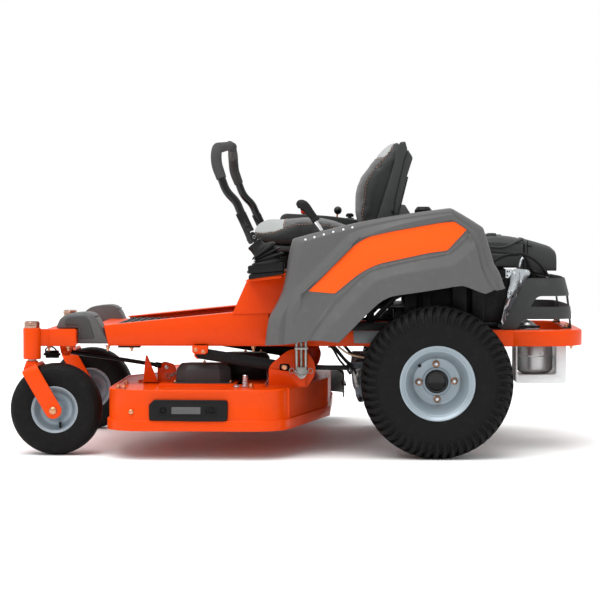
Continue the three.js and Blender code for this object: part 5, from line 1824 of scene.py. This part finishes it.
pair("boot_pad", pads, black_plastic, nodes=["{}_boot_housing"], cuts=[pad_slot], bevel=0.8, sharp=40)


def hub(bm):
    bar_block(bm, soften([(-12, -4), (13, -8), (13, 112), (9, 118), (0, 118), (0, 82), (-12, 76)], 4), -12,
              12)
    disc(bm, "x", along_bar(3, 0), 13, -14, 14, 28)
    turn(bm, [(-12, 0), (-12, 6), (14, 6), (14, 0)], BEHIND, along_bar(0, 100), 24)


def hub_bolts(bm):
    turn(bm, [(-18, 0), (-18, 4), (-16.6, 6.4), (-15.2, 6.8), (-15, 0)], BEHIND, along_bar(0, 100), 28)
    turn(bm, [(0, 3.6), (0, 5), (1, 5), (1.4, 4.4), (1, 3.6)], "x", along_bar(7, 101, 12.6), 28)


pair("control_hub", hub, gloss_black, "{}_control", ["{}_control_hub"], bevel=1)
pair("hub_bolts", hub_bolts, steel_plain, "{}_control")


def bellows(side, hand):
    # pleats that fan out about the front of the pad, then a plain neck with a flat collar
    front = Vector((-551, 583))
    rows = [  # (front Y, Z), (rear Y, Z), half width
        ((-556, 570), (-466, 578), 35), ((-562, 581), (-458, 592), 40), ((-553, 586), (-467, 601), 35),
        ((-548, 587), (-478, 606), 30), ((-553, 588), (-461, 612), 36), ((-555, 590), (-459, 617), 40),
        ((-549, 592), (-476, 621), 33), ((-545, 593), (-490, 620), 28), ((-552, 593), (-472, 629), 36),
        ((-556, 594), (-469, 634), 40), ((-550, 597), (-483, 634), 33), ((-546, 599), (-498, 630), 27),
        ((-554, 598), (-486, 641), 34), ((-559, 592), (-485, 645), 38), ((-558, 600), (-492, 651), 38),
        ((-552, 605), (-502, 650), 31), ((-552, 606), (-512, 646), 27), ((-556, 612), (-522, 646), 24),
        ((-561, 620), (-527, 651), 23), ((-566, 624), (-531, 655), 25), ((-570, 627), (-530, 658), 28),
        ((-570, 632), (-534, 661), 28), ((-566, 634), (-539, 657), 22), ((-560, 630), (-543, 646), 18)]
    bm = bmesh.new()
    loops = []
    for (y0, z0), (y1, z1), half in rows:
        middle = Vector((BAR_X, (y0 + y1) / 2, (z0 + z1) / 2))
        reach = Vector((0, (y1 - y0) / 2, (z1 - z0) / 2))
        loop = []
        for i in range(40):
            a = math.tau * i / 40
            c, s = math.cos(a), math.sin(a)
            fat = 1 / (abs(c) ** 2.6 + abs(s) ** 2.6) ** (1 / 2.6)
            p = middle + reach * c * fat + Vector((half * s * fat, 0, 0))
            loop.append((side * p.x, p.y, p.z))
        loops.append(loop)
    rings(bm, loops, caps=False)
    obj = solid(f"{hand}_boot", bm)
    set_modifier(obj, "SUBSURF", levels=1, render_levels=1)
    set_modifier(obj, "SOLIDIFY", thickness=1.6 * MM, offset=-1)
    settle(obj)
    shade(obj, rubber, 60)
    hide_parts(f"{hand}_boot")
    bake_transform(obj)


for side, hand in SIDES:
    bellows(side, hand)

BAR = [(BAR_X + x, y, z) for x, y, z in (
    (0, -574, 700), (-1, -593, 740), (-4, -605, 770), (-9, -637, 802), (-13, -651, 840), (-19, -667, 884),
    (-26, -669, 914), (-62, -668, 935), (-348, -651, 953))]


def bar(bm):
    bar_block(bm, soften([(-15, 84, 12), (-1, 84, 12), (-1, 120, 2), (13, 121, 3), (6, 184, 5), (-25, 184, 5),
                          (-19, 137, 30)], 5),
              -12.5, 12.5)
    tube(bm, bent(BAR, 24, 8), 13, 28)
    disc(bm, "x", along_bar(-1, 134), 9, -14.4, 14.4, 32, 1.4)


pair("control_bar", bar, gloss_black, "{}_bar", ["{}_control_bar"], bevel=1)


def grip_sleeve(bm):
    route = bent([(BAR_X - 13, -652, 843), *BAR[5:8], (BAR_X - 354, -650.6, 953.4)], 22, 10)
    tube(bm, route, [15.4] + [16.6] * (len(route) - 2) + [13.5], 40)
    # a moulded end cap's rim
    for at, way in ((route[0], route[1] - route[0]), (route[-1], route[-1] - route[-2])):
        turn(bm, [(-2, 9), (-2, 14.5), (0, 15.6), (2, 14.5), (2, 9)], way.normalized(), at, 40)


for grip in pair("grip", grip_sleeve, foam, "{}_bar", ["{}_grip"], sharp=50):
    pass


# ---------- seat ----------
def follow(points, t):
    """The value at t on a line of (t, value) points."""
    if t <= points[0][0]:
        return points[0][1]
    for (a, u), (b, v) in zip(points, points[1:]):
        if t <= b:
            s = (t - a) / (b - a)
            s = s * s * (3 - 2 * s) * 0.5 + s * 0.5
            return u + (v - u) * s
    return points[-1][1]


SEAT_CROWN = [(-569, 694), (-558, 707), (-524, 713), (-488, 712), (-445, 716), (-411, 719), (-366, 718),
              (-320, 709), (-297, 700), (-262, 688), (-236, 676)]
SEAT_SEAM = [(-569, 679), (-535, 676), (-504, 680), (-478, 688), (-452, 699), (-425, 706), (-382, 708),
             (-338, 703), (-305, 694), (-262, 682), (-236, 671)]
SEAT_UNDER = [(-569, 662), (-552, 650), (-530, 643), (-480, 636), (-400, 634), (-236, 634)]
BACK_FRONT = [(658, -216), (694, -232), (739, -243), (790, -243), (815, -239), (846, -227), (883, -200),
              (918, -172), (950, -145), (964, -126)]
BACK_SEAM = [(658, -206), (694, -224), (734, -230), (758, -226), (782, -222), (813, -220), (837, -214),
             (861, -200), (891, -176), (911, -157), (936, -138), (964, -122)]
BACK_REAR = [(658, -168), (700, -162), (732, -156), (800, -136), (850, -121), (902, -106), (928, -108),
             (956, -104), (964, -108)]
BACK_HALF = [(658, 208), (700, 218), (840, 220), (900, 214), (936, 200), (955, 178), (964, 150)]
PATCH_SEAT, PATCH_BACK = -473, 912


def cushion_section(half, seam, crown, under):
    """Half a cushion's section, (across, height) from the top's middle round to the bottom's."""
    rise = crown - seam
    return [(0, crown), (half * 0.35, seam + rise * 0.97), (half * 0.6, seam + rise * 0.85),
            (half * 0.8, seam + rise * 0.6), (half * 0.91, seam + rise * 0.25), (half * 0.965, seam),
            (half * 0.985, seam + (under - seam) * 0.12), (half, seam + (under - seam) * 0.35),
            (half, seam + (under - seam) * 0.65), (half * 0.985, seam + (under - seam) * 0.9),
            (half * 0.95, under), (0, under)]


def seat_form(bm):
    loops = []
    steps = [(-567, 0.8), (-565, 0.9), (-560, 0.96)] + [(-552 + i * 14, 1) for i in range(23)] + [(-238,
        0.97)]
    for y, keep in steps:
        crown, seam, under = (follow(line, y) for line in (SEAT_CROWN, SEAT_SEAM, SEAT_UNDER))
        middle = (crown + under) / 2
        half = 228 * (1 - 0.035 * max(0, (-y - 540) / 26) ** 2)
        section = cushion_section(half, seam, crown, under)
        section = [(a * (0.98 + 0.02 * keep), middle + (b - middle) * keep) for a, b in section]
        loops.append([(a, y, b) for a, b in section] + [(-a, y, b) for a, b in section[-2:0:-1]])
    rings(bm, loops)


def back_form(bm):
    loops = []
    for z, keep in [(659, 0.86), (662, 0.95)] + [(668 + i * 14, 1) for i in range(20)] + [(946, 1),
        (956, 0.9), (962, 0.7)]:
        front, seam, rear = (follow(line, z) for line in (BACK_FRONT, BACK_SEAM, BACK_REAR))
        middle = (front + rear) / 2
        section = cushion_section(follow(BACK_HALF, z), seam, front, rear)
        section = [(a, middle + (b - middle) * keep) for a, b in section]
        loops.append([(a, b, z) for a, b in section] + [(-a, b, z) for a, b in section[-2:0:-1]])
    rings(bm, loops)


VOXEL = 5.0
SWELL = 6.0


def inflate(obj):
    """Remeshes the form evenly and lets cloth under pressure pull its skin round."""
    obj.data.remesh_voxel_size = VOXEL * MM
    set_modifier(obj, "REMESH", mode="VOXEL", voxel_size=VOXEL * MM)
    settle(obj)
    start = [v.co.copy() for v in obj.data.vertices]
    cloth = set_modifier(obj, "CLOTH")
    cloth.settings.use_pressure = True
    cloth.settings.uniform_pressure_force = 4
    cloth.settings.effector_weights.gravity = 0
    cloth.point_cache.frame_start, cloth.point_cache.frame_end = 1, 20
    for frame_number in range(1, 21):
        scene.frame_set(frame_number)
    settle(obj)
    scene.frame_set(1)
    for v, home in zip(obj.data.vertices, start):
        moved = v.co - home
        if moved.length > SWELL * MM:
            v.co = home + moved * (SWELL * MM / moved.length)
    set_modifier(obj, "SUBSURF", levels=1, render_levels=1)
    settle(obj)


def upholster(name, form, above, patch, pull):
    """A sewn cushion. above(point) is how far a point lies on the top panel's side of the seam, in mm, and
    patch(point) how far inside the pale patch. pull moves a point back to the seam."""
    bm = bmesh.new()
    form(bm)
    obj = solid(name, bm)
    inflate(obj)
    mesh = obj.data
    normals = [v.normal.copy() for v in mesh.vertices]
    for v, normal in zip(mesh.vertices, normals):
        p = (v.co - HOME) / MM
        edge, inside = above(p), patch(p)
        if abs(edge) < 1.7:
            p = pull(p, edge)
            edge = 0
        depth = 1.7 * math.exp(-(edge / 2.4) ** 2)
        if edge > -1:
            depth = max(depth, 1.4 * math.exp(-(inside / 2.2) ** 2))
        v.co = HOME + (p - normal * depth) * MM
    for finish in (vinyl, vinyl_mid, vinyl_light):
        mesh.materials.append(finish.material)
    for polygon in mesh.polygons:
        p = (polygon.center - HOME) / MM
        polygon.use_smooth = True
        polygon.material_index = 0 if above(p) < 0 else 2 if patch(p) > 0 else 1
    mesh.set_sharp_from_angle(angle=math.radians(70))
    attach(obj, "seat")
    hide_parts(name)
    return obj


def sew(name, obj, rows):
    """Thread stitches pressed on the skin. rows are lists of (place, way) rays that strike it."""
    hit = bvhtree.BVHTree.FromObject(obj, bpy.context.evaluated_depsgraph_get())
    bm = bmesh.new()
    for row in rows:
        track = []
        for place, way in row:
            spot, normal, _, _ = hit.ray_cast(HOME + Vector(place) * MM, Vector(way))
            if spot:
                track.append(((spot - HOME) / MM, normal))
        for (a, na), (b, nb) in zip(track[::2], track[1::2]):
            if (a - b).length > 14:
                continue
            tube(bm, [a - na * 0.7, a + na * 0.3, (a + b) / 2 + (na + nb) * 0.35, b + nb * 0.3, b - nb * 0.7],
                 0.75, 8)
    dress(solid(name, bm), thread, "seat", sharp=60)


def spread(low, high, gap=5.0):
    count = int(abs(high - low) / gap)
    return [low + (high - low) * i / count for i in range(count + 1)]


seat_cushion = upholster(
    "seat_cushion", seat_form,
    lambda p: p.z - follow(SEAT_SEAM, p.y), lambda p: PATCH_SEAT - p.y,
    lambda p, edge: Vector((p.x, p.y, p.z - edge)))
seat_back = upholster(
    "seat_back", back_form,
    lambda p: follow(BACK_SEAM, p.z) - p.y, lambda p: p.z - PATCH_BACK,
    lambda p, edge: Vector((p.x, p.y + edge, p.z)))
sew("seat_stitches", seat_cushion,
    [[((side * 300, y, follow(SEAT_SEAM, y) - 4.5), (-side, 0, 0)) for y in spread(-556,
        -250)] for side in (1, -1)]
    + [[((x, -700, follow(SEAT_SEAM, -566) - 4.5), (0, 1, 0)) for x in spread(-205, 205)],
       [((x, PATCH_SEAT + 4.5, 800), (0, 0, -1)) for x in spread(-212, 212)]])
sew("back_stitches", seat_back,
    [[((side * 300, follow(BACK_SEAM, z) + 4.5, z), (-side, 0, 0)) for z in spread(668, 948)] for side in (1,
        -1)]
    + [[((x, -400, PATCH_BACK - 4.5), (0, 1, 0)) for x in spread(-200, 200)]])


def seat_shell(bm):
    # a moulded pan and a back of two steps: the flange by the cushion and the pan behind it
    pan = soften([(-548, 627), (-540, 641), (-470, 634), (-240, 632), (-178, 650), (-168, 700), (-152, 640),
                  (-176, 622), (-240, 620), (-542, 620)], 6)
    flange = soften([(-196, 652), (-188, 690), (-176, 732), (-126, 894), (-122, 930), (-108, 958), (-92, 960),
                     (-85, 934), (-95, 910), (-123, 790), (-136, 700), (-150, 640)], 5)
    outer = soften([(-150, 640), (-136, 700), (-124, 792), (-96, 910), (-84, 936), (-68, 910), (-86, 853),
                    (-104, 780), (-124, 700), (-134, 640)], 6)
    for outline, width, edge in ((pan, 222, 6), (flange, 221, 3), (outer, 214, 8)):
        loft(bm, outline, ((-width, 0.97), (-width + edge, 1), (width - edge, 1), (width, 0.97)))
    for x in (-110, 110):
        block(bm, x - 14, x + 14, -540, -150, 614.6, 626)
    for x in (-120, -40, 40, 120):
        prism(bm, soften([(-150, 640), (-118, 700), (-98, 780), (-80, 853), (-90, 853), (-130, 700)], 4), "x",
              x - 4, x + 4)


piece("seat_shell", seat_shell, charcoal, "seat", ["seat_shell"], bevel=1.6, sharp=35)
# a black disc where the shell has a hole: painted shade inside the hole
piece("shell_hole_shade", lambda bm: disc(bm, "x", (0, -131, 741), 5.2, 214.5, 221.6, 24, 0.6), black, "seat")


def seat_frame(bm):
    disc(bm, "x", (0, -540, 596), 7, -157, 157, 24)
    prism(bm, soften(rectangle(-140, 140, -548, -210), 10), "z", 600, 604)
    for x in (-110, 110):
        prism(bm, soften([(x - 14, 603), (x + 14, 603), (x + 14, 614), (x - 14, 614)], 3), "y", -540, -230)
        turn(bm, [(566, 0), (566, 12), (570, 14), (600, 14), (600, 0)], "z", (x, -320, 0), 28)
    for side in (1, -1):
        prism(bm, soften([(-556, 590), (-540, 584), (-524, 590), (-520, 604), (-556, 604)], 5), "x",
              *span(side, 134, 140))


piece("seat_frame", seat_frame, black, "seat_base", ["seat_frame"], bevel=0.8)
